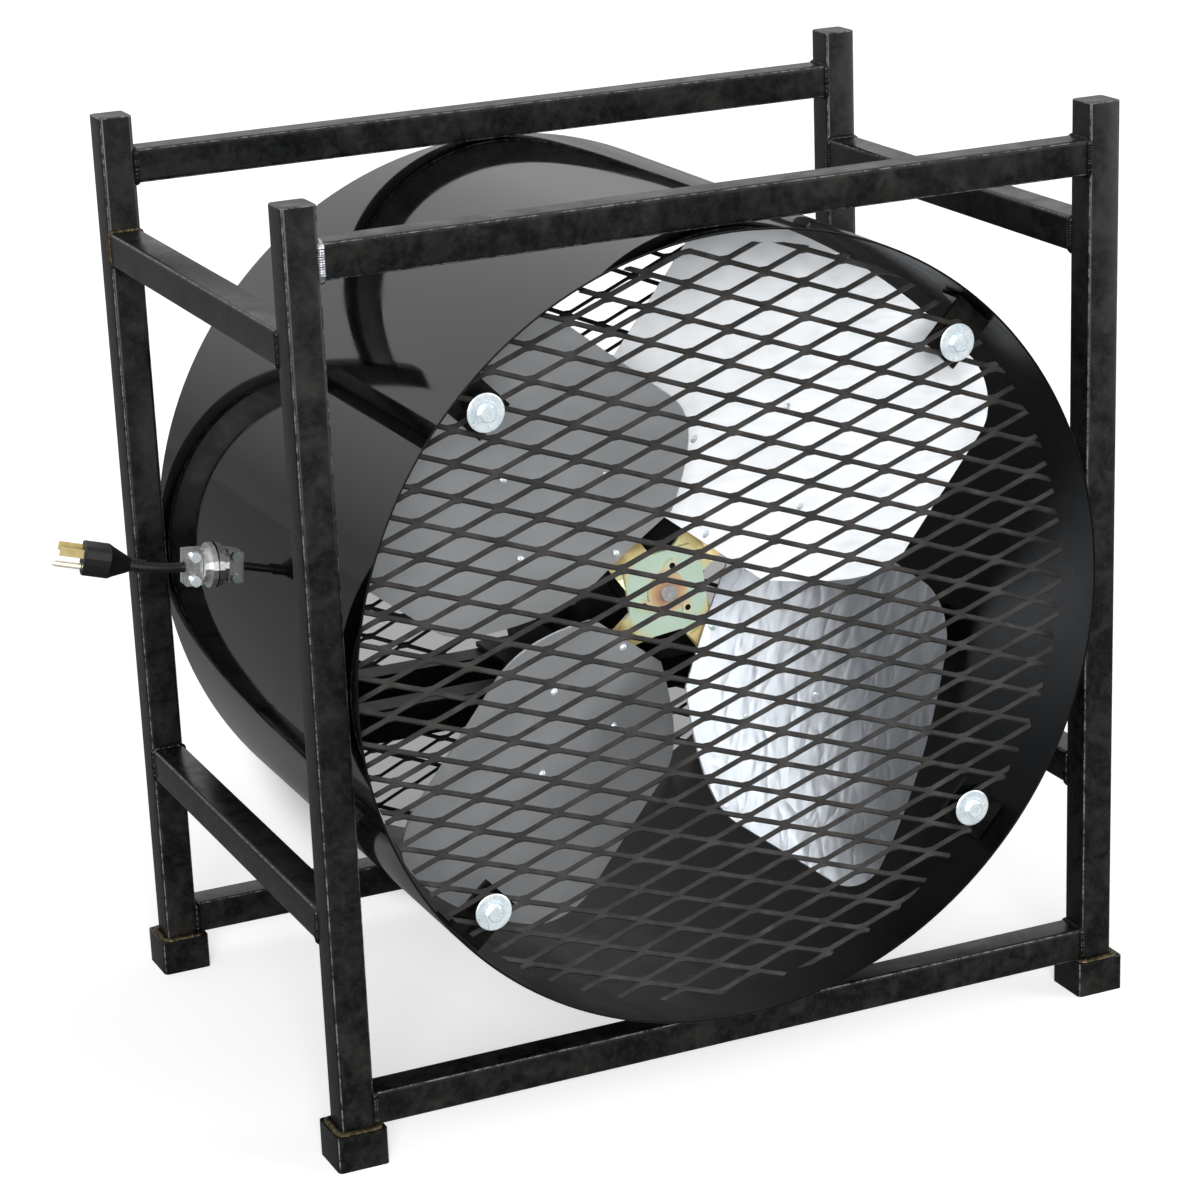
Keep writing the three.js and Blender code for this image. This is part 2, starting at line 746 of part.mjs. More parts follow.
// One half of the clamp, from one place along the cord to the jaws' common end. It is
// hollowed for the cord and drilled for the two screws.
function makeJaw(side, fromX) {
  const toX = neckEnd + jawLength;
  const block = new THREE.BoxGeometry(toX - fromX, jawThickness, jawWidth);
  block.translate((fromX + toX) / 2, (side * (jawGap + jawThickness)) / 2, 0);
  const groove = alongX(new THREE.CylinderGeometry(cordBore, cordBore, 2 * toX, 12));
  const holes = [-1, 1].map((way) => {
    const hole = roundBarY(clampScrewRadius + seat, -jawWidth, jawWidth, 8);
    return hole.translate(clampScrewX, 0, way * clampScrewOffset);
  });
  return cut(block, groove.translate(toX, 0, 0), ...holes);
}

// The fixed half of the clamp is one casting with the threaded nipple and the flange, and
// its jaw starts a little way inside the neck.
function makeConnector() {
  const barrel = alongX(
    turnedY(
      [
        [cordBore, -drumWall - nippleInside],
        [nippleRadius, -drumWall - nippleInside],
        [nippleRadius, seat],
        [connectorFlangeRadius, seat],
        [connectorFlangeRadius, seat + connectorFlangeThickness],
        [connectorNeckRadius, seat + connectorFlangeThickness],
        [connectorNeckRadius, neckEnd],
        [cordBore, neckEnd],
      ],
      16,
    ),
  );
  return joined(barrel, makeJaw(1, neckEnd - connectorNeckLength / 4));
}

place('cord_connector', makeConnector(), zincPlate, connector);
place('clamp_saddle', makeJaw(-1, neckEnd + seat), zincPlate, connector);

const screwHead = jawGap / 2 + jawThickness + seat;
for (const [index, way] of [1, -1].entries()) {
  const head = roundBarY(clampScrewHeadRadius, -screwHead - clampScrewHeadHeight, -screwHead, 10);
  const shank = roundBarY(clampScrewRadius, -screwHead - seat, clampScrewLength - screwHead, 8);
  const screw = place(`clamp_screw_${index + 1}`, joined(head, shank), zincPlate, connector);
  screw.position.set(clampScrewX, 0, way * clampScrewOffset);
}

// The locknut holds the nipple from inside the drum. Its edge touches the curved wall.
const locknutX = seat + drumRadius - Math.sqrt(drumInnerFlat ** 2 - locknutRadius ** 2);
const locknut = alongX(
  turnedY(
    [
      [nippleRadius + seat, -locknutX - locknutThickness],
      [locknutRadius, -locknutX - locknutThickness],
      [locknutRadius, -locknutX],
      [nippleRadius + seat, -locknutX],
    ],
    16,
  ),
);
place('connector_locknut', locknut, zincPlate, connector);

// ---------------------------------------------------------------- cord and plug

// The free cord, in the connector's frame: straight through the clamp, then one slight
// bend that ends in line with the plug.
const plugDirection = new THREE.Vector3(1, 0, 0)
  .applyAxisAngle(new THREE.Vector3(0, 0, 1), radians(cordDrift))
  .applyAxisAngle(new THREE.Vector3(0, 1, 0), radians(cordRise));
const cordStart = new THREE.Vector3(seat, 0, 0);
const bendStart = new THREE.Vector3(cordStraight, 0, 0);
const bendMiddle = new THREE.Vector3(cordStraight + cordBend / 2, 0, 0);
const cordEnd = bendMiddle.clone().addScaledVector(plugDirection, cordBend / 2);

function makeCord() {
  const route = new THREE.CurvePath();
  route.add(new THREE.LineCurve3(cordStart, bendStart));
  route.add(new THREE.QuadraticBezierCurve3(bendStart, bendMiddle, cordEnd));
  const sides = 10;
  const section = Array.from({ length: sides }, (_, k) => {
    const angle = (2 * Math.PI * k) / sides;
    return [cordRadius * Math.cos(angle), cordRadius * Math.sin(angle)];
  });
  return new THREE.ExtrudeGeometry(outlineOf(section), { steps: 6, extrudePath: route });
}
place('supply_cord', makeCord(), cordRubber, connector);

const plug = new THREE.Group();
plug.position.copy(cordEnd).addScaledVector(plugDirection, seat);
plug.quaternion.setFromUnitVectors(new THREE.Vector3(1, 0, 0), plugDirection);
plug.rotateX(-radians(plugRoll));
connector.add(plug);

// The plug is moulded round the cord. A ribbed sleeve swells through a neck and a
// shoulder into the body, whose top is flat and whose underside is rounder.
function makePlug() {
  const neckStart = plugReliefLength;
  const shoulderStart = neckStart + plugNeckLength;
  const bodyStart = shoulderStart + plugShoulderLength;
  const rings = [
    { x: neckStart - plugEdge, size: 0, square: 0 },
    { x: neckStart, size: plugNeckStartShare, square: 0 },
    { x: shoulderStart, size: plugNeckShare, square: 1 },
    { x: bodyStart, size: 1, square: 1 },
    { x: plugLength - plugEdge, size: 1, square: 1 },
    { x: plugLength, size: plugFaceShare, square: 1 },
  ];
  const { lerp } = THREE.MathUtils;
  const body = alongX(new THREE.CylinderGeometry(1, 1, rings.length - 1, 16, rings.length - 1));
  const position = body.attributes.position;
  for (let k = 0; k < position.count; k++) {
    const { x, size, square } = rings[Math.round(position.getX(k) + (rings.length - 1) / 2)];
    const [y, z] = [position.getY(k), position.getZ(k)];
    const power = lerp(2, z < 0 ? plugTopSquareness : plugBottomSquareness, square);
    const norm = (Math.abs(y) ** power + Math.abs(z) ** power) ** (1 / power);
    const isRim = norm > 0.5; // not the middle of an end
    const spread = isRim ? 1 / norm : 1;
    const halfWidth = lerp(plugReliefRadius, plugBodyWidth / 2, size);
    const halfHeight = lerp(plugReliefRadius, plugBodyHeight / 2, size);
    position.setXYZ(k, x, y * spread * halfWidth, z * spread * halfHeight);
  }
  const sleeve = [[0, 0]];
  const ribStep = plugReliefLength / plugReliefRibs;
  for (let k = 0; k < plugReliefRibs; k++) {
    const start = k * ribStep;
    sleeve.push([plugReliefRadius, start]);
    sleeve.push([plugReliefRadius, start + ribStep / 2]);
    sleeve.push([plugReliefRadius - plugGrooveDepth, start + ribStep / 2]);
    sleeve.push([plugReliefRadius - plugGrooveDepth, start + ribStep]);
  }
  sleeve.push([0, plugReliefLength]);
  return joined(body, alongX(turnedY(sleeve, 12)));
}
place('plug_body', makePlug(), cordRubber, plug);

const faceX = plugLength + seat;
for (const [index, way] of [-1, 1].entries()) {
  const prong = new THREE.BoxGeometry(prongLength, prongThickness, prongWidth);
  const mesh = place(`plug_prong_${index + 1}`, prong, brass, plug);
  mesh.position.set(faceX + prongLength / 2, (way * prongSpacing) / 2, -prongRaise);
}
const pin = alongX(
  turnedY(
    [
      [0, 0],
      [groundPinRadius, 0],
      [groundPinRadius, groundPinLength - groundPinRadius],
      [groundPinTipRadius, groundPinLength],
      [0, groundPinLength],
    ],
    8,
  ),
);
place('plug_ground_pin', pin, brass, plug).position.set(faceX, 0, groundPinDrop);

export default fan;
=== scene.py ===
# %% [markdown]
# # A drum fan in a cage of square tube
#
# A drum fan is a rolled steel drum with a fan wheel inside it. This one stands in a welded
# cage, so that it can be carried, set on a floor and stacked. The solids come from a CAD
# model and are loaded first. They fix every size and place. The cells after that dress them:
# round corners, weld beads, rivets and expanded metal that the plain solids lack, and a
# finish for each surface.
#
# Lengths are in metres, as Blender wants them, and MM turns millimetres into metres.

import json
import math
import random

import bmesh
import bpy
from mathutils import Matrix, Vector

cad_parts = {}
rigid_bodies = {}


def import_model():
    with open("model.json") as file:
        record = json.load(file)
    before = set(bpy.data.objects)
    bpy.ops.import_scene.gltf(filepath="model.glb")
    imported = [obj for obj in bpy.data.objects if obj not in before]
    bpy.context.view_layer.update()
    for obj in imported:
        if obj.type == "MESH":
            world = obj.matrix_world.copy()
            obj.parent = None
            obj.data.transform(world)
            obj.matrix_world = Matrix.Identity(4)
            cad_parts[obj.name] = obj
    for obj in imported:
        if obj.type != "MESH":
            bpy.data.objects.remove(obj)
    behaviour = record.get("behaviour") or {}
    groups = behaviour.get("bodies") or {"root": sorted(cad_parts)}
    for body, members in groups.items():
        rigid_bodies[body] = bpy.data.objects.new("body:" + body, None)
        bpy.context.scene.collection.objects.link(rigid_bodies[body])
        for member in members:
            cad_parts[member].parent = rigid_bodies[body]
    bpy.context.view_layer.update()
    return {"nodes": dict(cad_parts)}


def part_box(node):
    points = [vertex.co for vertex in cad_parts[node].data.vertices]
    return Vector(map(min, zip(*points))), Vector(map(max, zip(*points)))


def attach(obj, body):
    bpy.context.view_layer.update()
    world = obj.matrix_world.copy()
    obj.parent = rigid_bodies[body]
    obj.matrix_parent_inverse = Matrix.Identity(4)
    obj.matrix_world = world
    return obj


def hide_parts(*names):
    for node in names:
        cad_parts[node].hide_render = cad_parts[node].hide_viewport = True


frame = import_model()
MM = 0.001

# %% [markdown]
# ## The camera
#
# The photographer stood in front and to the left, a little above the drum, and used a long
# lens, so the cage's far posts are nearly as large as the near ones. The camera is turned
# about Z by its azimuth, tipped down by its elevation, and rolled a little, as the leaning
# posts show.

# %% Set the camera
camera_place = Vector((-1.04008, -2.28468, 1.12880))
camera_azimuth = math.radians(-22.961)
camera_elevation = math.radians(19.424)
camera_roll = math.radians(-2.654)

camera_data = bpy.data.cameras.new("camera")
camera_data.lens = 105.34
camera_data.sensor_width = 36
camera_data.shift_x = 0.06
camera_data.shift_y = 0.07
camera_data.clip_end = 50
camera = bpy.data.objects.new("camera", camera_data)
camera.matrix_world = (
    Matrix.Translation(camera_place)
    @ Matrix.Rotation(camera_azimuth, 4, "Z")
    @ Matrix.Rotation(math.pi / 2 - camera_elevation, 4, "X")
    @ Matrix.Rotation(camera_roll, 4, "Z")
)
bpy.context.scene.collection.objects.link(camera)
bpy.context.scene.camera = camera
bpy.context.scene.view_settings.view_transform = "Standard"

# %% [markdown]
# ## Helpers for finishes
#
# A finish is a small tree of shader nodes. One function turns the sRGB colours that people
# write into the linear ones that light is reckoned in. Another adds one node, named as in
# Blender but without ShaderNode in front, and sets what it is given: a key that is the name
# or number of one of the node's inputs sets that input, and any other key sets a property of
# the node. Patterns are given by the size of their lumps in millimetres.

# %% Colours and nodes


def linear(hex_colour):
    """An sRGB colour such as "#c0c4c8" as the linear colour that a shader takes."""
    shares = [int(hex_colour[start : start + 2], 16) / 255 for start in (1, 3, 5)]
    return [s / 12.92 if s <= 0.04045 else ((s + 0.055) / 1.055) ** 2.4 for s in shares] + [1.0]


def add(material, kind, settings=None, links=None):
    """Adds a node. Settings are values of its inputs or properties, and links are outputs."""
    node = material.node_tree.nodes.new("ShaderNode" + kind)
    for key, value in (settings or {}).items():
        if isinstance(key, int) or key in node.inputs:
            node.inputs[key].default_value = value
        else:
            setattr(node, key, value)
    for key, output in (links or {}).items():
        material.node_tree.links.new(output, node.inputs[key])
    return node


def new_finish(name):
    """An empty material, and the Object coordinates that its patterns are laid in."""
    material = bpy.data.materials.new(name)
    material.use_nodes = True
    material.node_tree.nodes.clear()
    coordinates = add(material, "TexCoord").outputs["Object"]
    return material, coordinates


def stops(ramp, *positions):
    """Sets a colour ramp's stops, each given as a position and a linear colour."""
    elements = ramp.color_ramp.elements
    while len(elements) < len(positions):
        elements.new(0.5)
    for element, (position, colour) in zip(elements, positions):
        element.position = position
        element.color = colour
    return ramp


def pattern_scale(size_mm):
    """The scale at which a noise's lumps are about this many millimetres across."""
    return 1000 / size_mm


# %% [markdown]
# ## Black enamel on the cage
#
# The cage is steel tube sprayed with semi-gloss black enamel straight over the mill scale.
# The film mirrors softly. A mottle about 25 mm across shows where it went on thin and the
# warm grey scale comes through, and a faint orange peel lies over it all. Corners are pale,
# partly rubbed and partly a painted highlight. The pale places come from a face attribute,
# which the tubes are given along their rounded corners.

# %% Semi-gloss enamel


def semi_gloss_enamel(name, thick, thin, rub_and_highlight, gloss_range=(0.2, 0.42), mirror=1.32):
    """Sprayed enamel, thick or thin in patches, pale along its corners: wear and painted
    highlight.

    The mirror value is the film's index of refraction, and sets how strongly it mirrors.
    """
    material, coordinates = new_finish(name)
    mottle = add(
        material,
        "TexNoise",
        {"Scale": pattern_scale(25), "Detail": 5, "Roughness": 0.62, "Distortion": 0.6},
        {"Vector": coordinates},
    )
    peel = add(
        material, "TexNoise", {"Scale": pattern_scale(2.2), "Detail": 2}, {"Vector": coordinates}
    )
    scuffs = add(
        material,
        "TexNoise",
        {"Scale": pattern_scale(6), "Detail": 6, "Roughness": 0.75},
        {"Vector": coordinates},
    )
    film = stops(
        add(material, "ValToRGB", links={"Fac": mottle.outputs["Fac"]}),
        (0.44, linear(thick)),
        (0.7, linear(thin)),
    )
    gloss = add(
        material,
        "MapRange",
        {"From Min": 0.3, "From Max": 0.7, "To Min": gloss_range[0], "To Max": gloss_range[1]},
        {"Value": mottle.outputs["Fac"]},
    )
    # Marked corners are painted pale: partly wear, partly a painted highlight.
    rubbed_and_highlit = add(material, "Attribute", {"attribute_name": "rubbed_and_highlit"})
    worn_and_highlit = add(
        material,
        "MapRange",
        {"From Min": 0.44, "From Max": 0.6, "To Min": 0.12},
        {"Value": scuffs.outputs["Fac"]},
    )
    pale = add(
        material,
        "Math",
        {"operation": "MULTIPLY"},
        {0: rubbed_and_highlit.outputs["Fac"], 1: worn_and_highlit.outputs["Result"]},
    )
    colour = add(
        material,
        "Mix",
        {"data_type": "RGBA", 7: linear(rub_and_highlight)},
        {0: pale.outputs[0], 6: film.outputs["Color"]},
    )
    bump = add(
        material, "Bump", {"Strength": 0.12, "Distance": 0.1 * MM}, {"Height": peel.outputs["Fac"]}
    )
    enamel = add(
        material,
        "BsdfPrincipled",
        {"IOR": mirror},
        {
            "Base Color": colour.outputs[2],
            "Roughness": gloss.outputs["Result"],
            "Normal": bump.outputs["Normal"],
        },
    )
    add(material, "OutputMaterial", None, {"Surface": enamel.outputs[0]})
    return material


# The fourth colour is the pale of the corners: rubbed steel and a painted highlight.
cage_enamel = semi_gloss_enamel("semi_gloss_black_enamel", "#040505", "#1d1b18", "#76787c")
# The mesh is a warm grey: partly a thin coat over sharp strands, partly painted light on them.
mesh_enamel = semi_gloss_enamel(
    "satin_black_mesh_enamel", "#2b2a29", "#444240", "#6c6a67", (0.32, 0.5)
)
# The motor came painted from its maker, duller than the cage.
motor_enamel = semi_gloss_enamel(
    "satin_black_motor_enamel", "#0c0c0d", "#1c1b1a", "#4c4c4e", (0.35, 0.5)
)
# Inside the drum the spray went on thin and dry.
lining_enamel = semi_gloss_enamel(
    "satin_black_lining_enamel", "#040404", "#0f0e0c", "#333333", (0.26, 0.4), mirror=1.2
)
print("sprayed enamels:", [m.name for m in bpy.data.materials if m.name.endswith("_enamel")])

# %% [markdown]
# ## Gloss enamel on the drum
#
# The drum has a thicker, baked enamel that mirrors sharply: the posts, the side rails and the
# cord show in it as long curved bands. Rolled sheet is never quite even, so its mirror image
# waves a little over 150 mm or so, and a film of dust takes the edge off here and there.

# %% High-gloss enamel


def high_gloss_enamel(name):
    """Baked enamel with a sharp, slightly wavy mirror image."""
    material, coordinates = new_finish(name)
    waves = add(
        material, "TexNoise", {"Scale": pattern_scale(150), "Detail": 1}, {"Vector": coordinates}
    )
    dust = add(
        material,
        "TexNoise",
        {"Scale": pattern_scale(60), "Detail": 6, "Roughness": 0.7},
        {"Vector": coordinates},
    )
    gloss = add(
        material,
        "MapRange",
        {"From Min": 0.35, "From Max": 0.75, "To Min": 0.03, "To Max": 0.09},
        {"Value": dust.outputs["Fac"]},
    )
    bump = add(
        material,
        "Bump",
        {"Strength": 0.25, "Distance": 1.5 * MM},
        {"Height": waves.outputs["Fac"]},
    )
    enamel = add(
        material,
        "BsdfPrincipled",
        {"Base Color": linear("#030405"), "IOR": 1.42},
        {"Roughness": gloss.outputs["Result"], "Normal": bump.outputs["Normal"]},
    )
    add(material, "OutputMaterial", None, {"Surface": enamel.outputs[0]})
    return material


drum_enamel = high_gloss_enamel("high_gloss_black_enamel")
print("baked enamel:", drum_enamel.name)

# %% [markdown]
# ## Metals
#
# The bare and plated metals share one tree: a metal whose colour wanders between two tones,
# whose roughness wanders too, and which may carry fine lines along one direction, as rolled
# metal does. The stretch of the coordinates makes the lines: a pattern that is laid in
# coordinates five times as large one way comes out five times as short that way. A metal
# that mirrors only dark things looks black, so those that are dull from handling or plating
# are less than fully metallic, and their own tone shows.

# %% Bare and plated metals


def metal(name, tones, patch_mm, roughness, lines=None, bump_mm=0.02, metallic=1.0):
    """A metal between two tones. Lines holds the coordinates' stretch and the line spacing."""
    material, coordinates = new_finish(name)
    patches = add(
        material,
        "TexNoise",
        {"Scale": pattern_scale(patch_mm), "Detail": 4, "Roughness": 0.6},
        {"Vector": coordinates},
    )
    tint = stops(
        add(material, "ValToRGB", links={"Fac": patches.outputs["Fac"]}),
        (0.35, linear(tones[0])),
        (0.65, linear(tones[1])),
    )
    stretch, spacing_mm = lines or ((1, 1, 1), 1.5)
    laid = add(material, "Mapping", {"Scale": Vector(stretch)}, {"Vector": coordinates})
    grain = add(
        material,
        "TexNoise",
        {"Scale": pattern_scale(spacing_mm), "Detail": 3, "Roughness": 0.6},
        {"Vector": laid.outputs["Vector"]},
    )
    gloss = add(
        material,
        "MapRange",
        {"From Min": 0.3, "From Max": 0.7, "To Min": roughness[0], "To Max": roughness[1]},
        {"Value": grain.outputs["Fac"]},
    )
    bump = add(
        material,
        "Bump",
        {"Strength": 0.3, "Distance": bump_mm * MM},
        {"Height": grain.outputs["Fac"]},
    )
    surface = add(
        material,
        "BsdfPrincipled",
        {"Metallic": metallic},
        {
            "Base Color": tint.outputs["Color"],
            "Roughness": gloss.outputs["Result"],
            "Normal": bump.outputs["Normal"],
        },
    )
    add(material, "OutputMaterial", None, {"Surface": surface.outputs[0]})
    return material


# Three blades, as the sheet left the rolling mill. Its lines lie closer than a millimetre
# and are drawn wider, so that they show.
rolled_aluminium = metal(
    "mill_finish_aluminium",
    ("#d1d4d7", "#dee1e4"),
    90,
    (0.54, 0.62),
    ((1, 1, 5), 12),
    bump_mm=0.01,
    metallic=0.8,
)
# Guard bolts, clamp screws, locknut and blade rivets: bluish, bright and quickly dulled.
bright_zinc = metal("bright_zinc_plate", ("#d3e2ea", "#f0f7fa"), 6, (0.25, 0.4), metallic=0.5)
# The cord connector, which keeps the dull skin of its die.
cast_zinc = metal("die_cast_zinc", ("#c4c6c4", "#dfe0dd"), 5, (0.3, 0.5), bump_mm=0.05)
# The bushing's three rivets, brown with old oil.
dark_rivet = metal("blackened_rivet_steel", ("#1a1614", "#3a2a22"), 4, (0.4, 0.55))
# The shaft's end, ground and then handled.
ground_steel = metal(
    "ground_shaft_steel", ("#bdbcbf", "#d9d8da"), 5, (0.35, 0.45), bump_mm=0.004, metallic=0.6
)
# The plug's flat prongs, and its paler round pin.
drawn_brass = metal("drawn_brass", ("#e3c982", "#f0dfa4"), 9, (0.3, 0.36), None, 0.004, 0.6)
nickel_brass = metal("pale_drawn_brass", ("#e6dfc6", "#f3eedb"), 9, (0.3, 0.36), None, 0.004, 0.6)
# Weld beads with the straw and brown of their heat, and one that was brushed bright.
heat_tint = metal("heat_tinted_weld", ("#2d281d", "#605743"), 4, (0.45, 0.6), bump_mm=0.05)
weld_steel = metal("wire_brushed_weld_steel", ("#8d9094", "#d2d5da"), 3, (0.25, 0.5))
print("finishes so far:", len(bpy.data.materials))

# %% [markdown]
# ## Dichromate on the hub
#
# Yellow zinc is a thin film over the plating, and its colour comes from the film's thickness:
# mint green on the flat plate, where the bath drained quickly, and straw yellow farther out.
# The tint turns darker brown at about 46 mm from the axis, where the arms bend, and paler
# again beyond. So the tint goes by the distance from the shaft's axis, made uneven by some
# noise. The bushing is copper near the bore in the same way.

# %% Plating that changes tint from the axis outward
drum_height = sum(corner.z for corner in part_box("drum_shell")) / 2
farthest_tint = 80 * MM
tint_wander = 5 * MM  # to either side


def drained_plate(name, tints, roughness):
    """A metal tinted by distance from the fan's axis. Tints are (distance in mm, colour)."""
    material, coordinates = new_finish(name)
    from_axis = add(
        material,
        "VectorMath",
        {"operation": "SUBTRACT", 1: Vector((0, 0, drum_height))},
        {0: coordinates},
    )
    flat = add(
        material,
        "VectorMath",
        {"operation": "MULTIPLY", 1: Vector((1, 0, 1))},
        {0: from_axis.outputs[0]},
    )
    distance = add(material, "VectorMath", {"operation": "LENGTH"}, {0: flat.outputs[0]})
    uneven = add(
        material, "TexNoise", {"Scale": pattern_scale(12), "Detail": 4}, {"Vector": coordinates}
    )
    wander = add(
        material,
        "Math",
        {"operation": "MULTIPLY_ADD", 1: 2 * tint_wander, 2: -tint_wander},
        {0: uneven.outputs["Fac"]},
    )
    place = add(
        material,
        "Math",
        {"operation": "ADD"},
        {0: distance.outputs["Value"], 1: wander.outputs[0]},
    )
    share = add(material, "Math", {"operation": "DIVIDE", 1: farthest_tint}, {0: place.outputs[0]})
    tint = stops(
        add(material, "ValToRGB", links={"Fac": share.outputs[0]}),
        *[(radius * MM / farthest_tint, linear(colour)) for radius, colour in tints],
    )
    surface = add(
        material,
        "BsdfPrincipled",
        {"Metallic": 0.2, "Roughness": roughness},
        {"Base Color": tint.outputs["Color"]},
    )
    add(material, "OutputMaterial", None, {"Surface": surface.outputs[0]})
    return material


yellow_zinc = drained_plate(
    "yellow_zinc_dichromate",
    [(20, "#d3ead8"), (31, "#cfe8d4"), (38, "#e3d79a"), (46, "#a8925c"), (70, "#c9bd8a")],
    roughness=0.36,
)
copper_flash = drained_plate(
    "copper_flashed_steel",
    [(6, "#c39878"), (12, "#dcb890"), (16, "#e8d6ac"), (21, "#dfe6c8")],
    roughness=0.4,
)
print("platings:", yellow_zinc.name, copper_flash.name)

# %% [markdown]
# ## Handled aluminium
#
# One blade has been bent back by hand and shows long shallow creases, about a centimetre
# apart. A noise with lumps of 22 mm makes them. Its mapping is of the kind TEXTURE, which
# turns the coordinates first and then divides them by the scale, so the lumps come out six
# times as long in the turned direction. A crease is the valley where the noise crosses its
# middle value, so the distance from that value is the height for the bumps.

# %% Crinkled aluminium


def crinkled_aluminium(name, turn):
    """Aluminium sheet with long shallow creases that run at a turn about Y."""
    material, coordinates = new_finish(name)
    laid = add(
        material,
        "Mapping",
        {
            "vector_type": "TEXTURE",
            "Rotation": Vector((0, turn, 0)),
            "Scale": Vector((6, 1, 1)),
        },
        {"Vector": coordinates},
    )
    crinkles = add(
        material,
        "TexNoise",
        {"Scale": pattern_scale(22), "Detail": 2, "Roughness": 0.5, "Distortion": 0.2},
        {"Vector": laid.outputs["Vector"]},
    )
    from_middle = add(
        material, "Math", {"operation": "SUBTRACT", 1: 0.5}, {0: crinkles.outputs["Fac"]}
    )
    folded = add(material, "Math", {"operation": "ABSOLUTE"}, {0: from_middle.outputs[0]})
    bump = add(
        material, "Bump", {"Strength": 1.0, "Distance": 2.7 * MM}, {"Height": folded.outputs[0]}
    )
    surface = add(
        material,
        "BsdfPrincipled",
        {"Metallic": 0.8, "Roughness": 0.42, "Base Color": linear("#dbe1e8")},
        {"Normal": bump.outputs["Normal"]},
    )
    add(material, "OutputMaterial", None, {"Surface": surface.outputs[0]})
    return material


handled_aluminium = crinkled_aluminium("handled_aluminium", math.radians(-51))
print("creased sheet:", handled_aluminium.name)

# %% [markdown]
# ## Flexible cord compound
#
# The cord's jacket and the plug are the same soft black compound, extruded on one and moulded
# on the other. It is dull, a shade lighter than the enamel, and has a fine grain.

# %% Cord compound


def cord_compound(name):
    """Dull black flexible PVC."""
    material, coordinates = new_finish(name)
    grain = add(
        material, "TexNoise", {"Scale": pattern_scale(1.5), "Detail": 4}, {"Vector": coordinates}
    )
    gloss = add(
        material,
        "MapRange",
        {"From Min": 0.3, "From Max": 0.7, "To Min": 0.38, "To Max": 0.55},
        {"Value": grain.outputs["Fac"]},
    )
    bump = add(
        material,
        "Bump",
        {"Strength": 0.3, "Distance": 0.05 * MM},
        {"Height": grain.outputs["Fac"]},
    )
    surface = add(
        material,
        "BsdfPrincipled",
        {"Base Color": linear("#0c0c0d"), "IOR": 1.4},
        {"Roughness": gloss.outputs["Result"], "Normal": bump.outputs["Normal"]},
    )
    add(material, "OutputMaterial", None, {"Surface": surface.outputs[0]})
    return material


black_compound = cord_compound("flexible_black_compound")
print("finishes in all:", len(bpy.data.materials))

# %% [markdown]
# ## Helpers for pieces
#
# Each piece is shaped in a bmesh and then made an object that rides on a body of the CAD
# model. Merging doubles closes the seams, and the normals are turned outward after that.
# Edges sharper than the given angle stay crisp, and the rest is shaded smooth. A mesh holds
# its own place, so the objects themselves stay at the origin.

# %% Turn a bmesh into a finished piece


def piece(name, bm, finish, body="cage", stands_for=(), crisp_above=32):
    """Makes the finished object, dresses it, and lets it ride and stand for solids."""
    bmesh.ops.remove_doubles(bm, verts=bm.verts, dist=0.002 * MM)
    bmesh.ops.recalc_face_normals(bm, faces=bm.faces)
    mesh = bpy.data.meshes.new(name)
    bm.to_mesh(mesh)
    bm.free()
    mesh.shade_smooth()
    mesh.set_sharp_from_angle(angle=math.radians(crisp_above))
    mesh.materials.append(finish)
    made = bpy.data.objects.new(name, mesh)
    bpy.context.scene.collection.objects.link(made)
    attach(made, body)
    if stands_for:
        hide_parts(*stands_for)
    return made


def placed(bm, place, turn=None):
    """Turns a bmesh about the origin and then moves it, in metres."""
    if turn is not None:
        bmesh.ops.rotate(bm, cent=(0, 0, 0), matrix=turn, verts=bm.verts)
    bmesh.ops.translate(bm, vec=place, verts=bm.verts)
    return bm


# %% [markdown]
# ## The cage's tubes
#
# Square tube is rolled from strip, so its corners are round outside, about as round as twice
# the wall. Each tube starts as a box as large as its solid. Its ends come off, its four long
# edges are bevelled, and the skin is given a wall. Posts keep their top end, a welded plate
# with a dressed edge. The middle strip of each corner is marked to be painted pale, as wear
# and as a painted highlight, and so is the edge round a post's top.

# %% Build the tubes
tube_wall = 1.8 * MM
corner_radius = 3.2 * MM
top_edge = 0.9 * MM
unrubbed = 0.04  # the faint wear of a tube's flat sides


def bevel(bm, edges, offset, segments):
    """Rounds edges, and returns the faces that the rounding made."""
    return bmesh.ops.bevel(
        bm,
        geom=edges,
        offset=offset,
        offset_type="OFFSET",
        affect="EDGES",
        segments=segments,
        profile=0.5,
        material=-1,
    )["faces"]


def mark_rubbed_and_highlit(made, places):
    """Marks the faces at the given places to be painted pale: wear and a painted highlight."""
    marked = {tuple(round(c, 5) for c in place) for place in places}
    attribute = made.data.attributes.new("rubbed_and_highlit", "FLOAT", "FACE")
    for polygon in made.data.polygons:
        key = tuple(round(c, 5) for c in polygon.center)
        attribute.data[polygon.index].value = 1.0 if key in marked else unrubbed


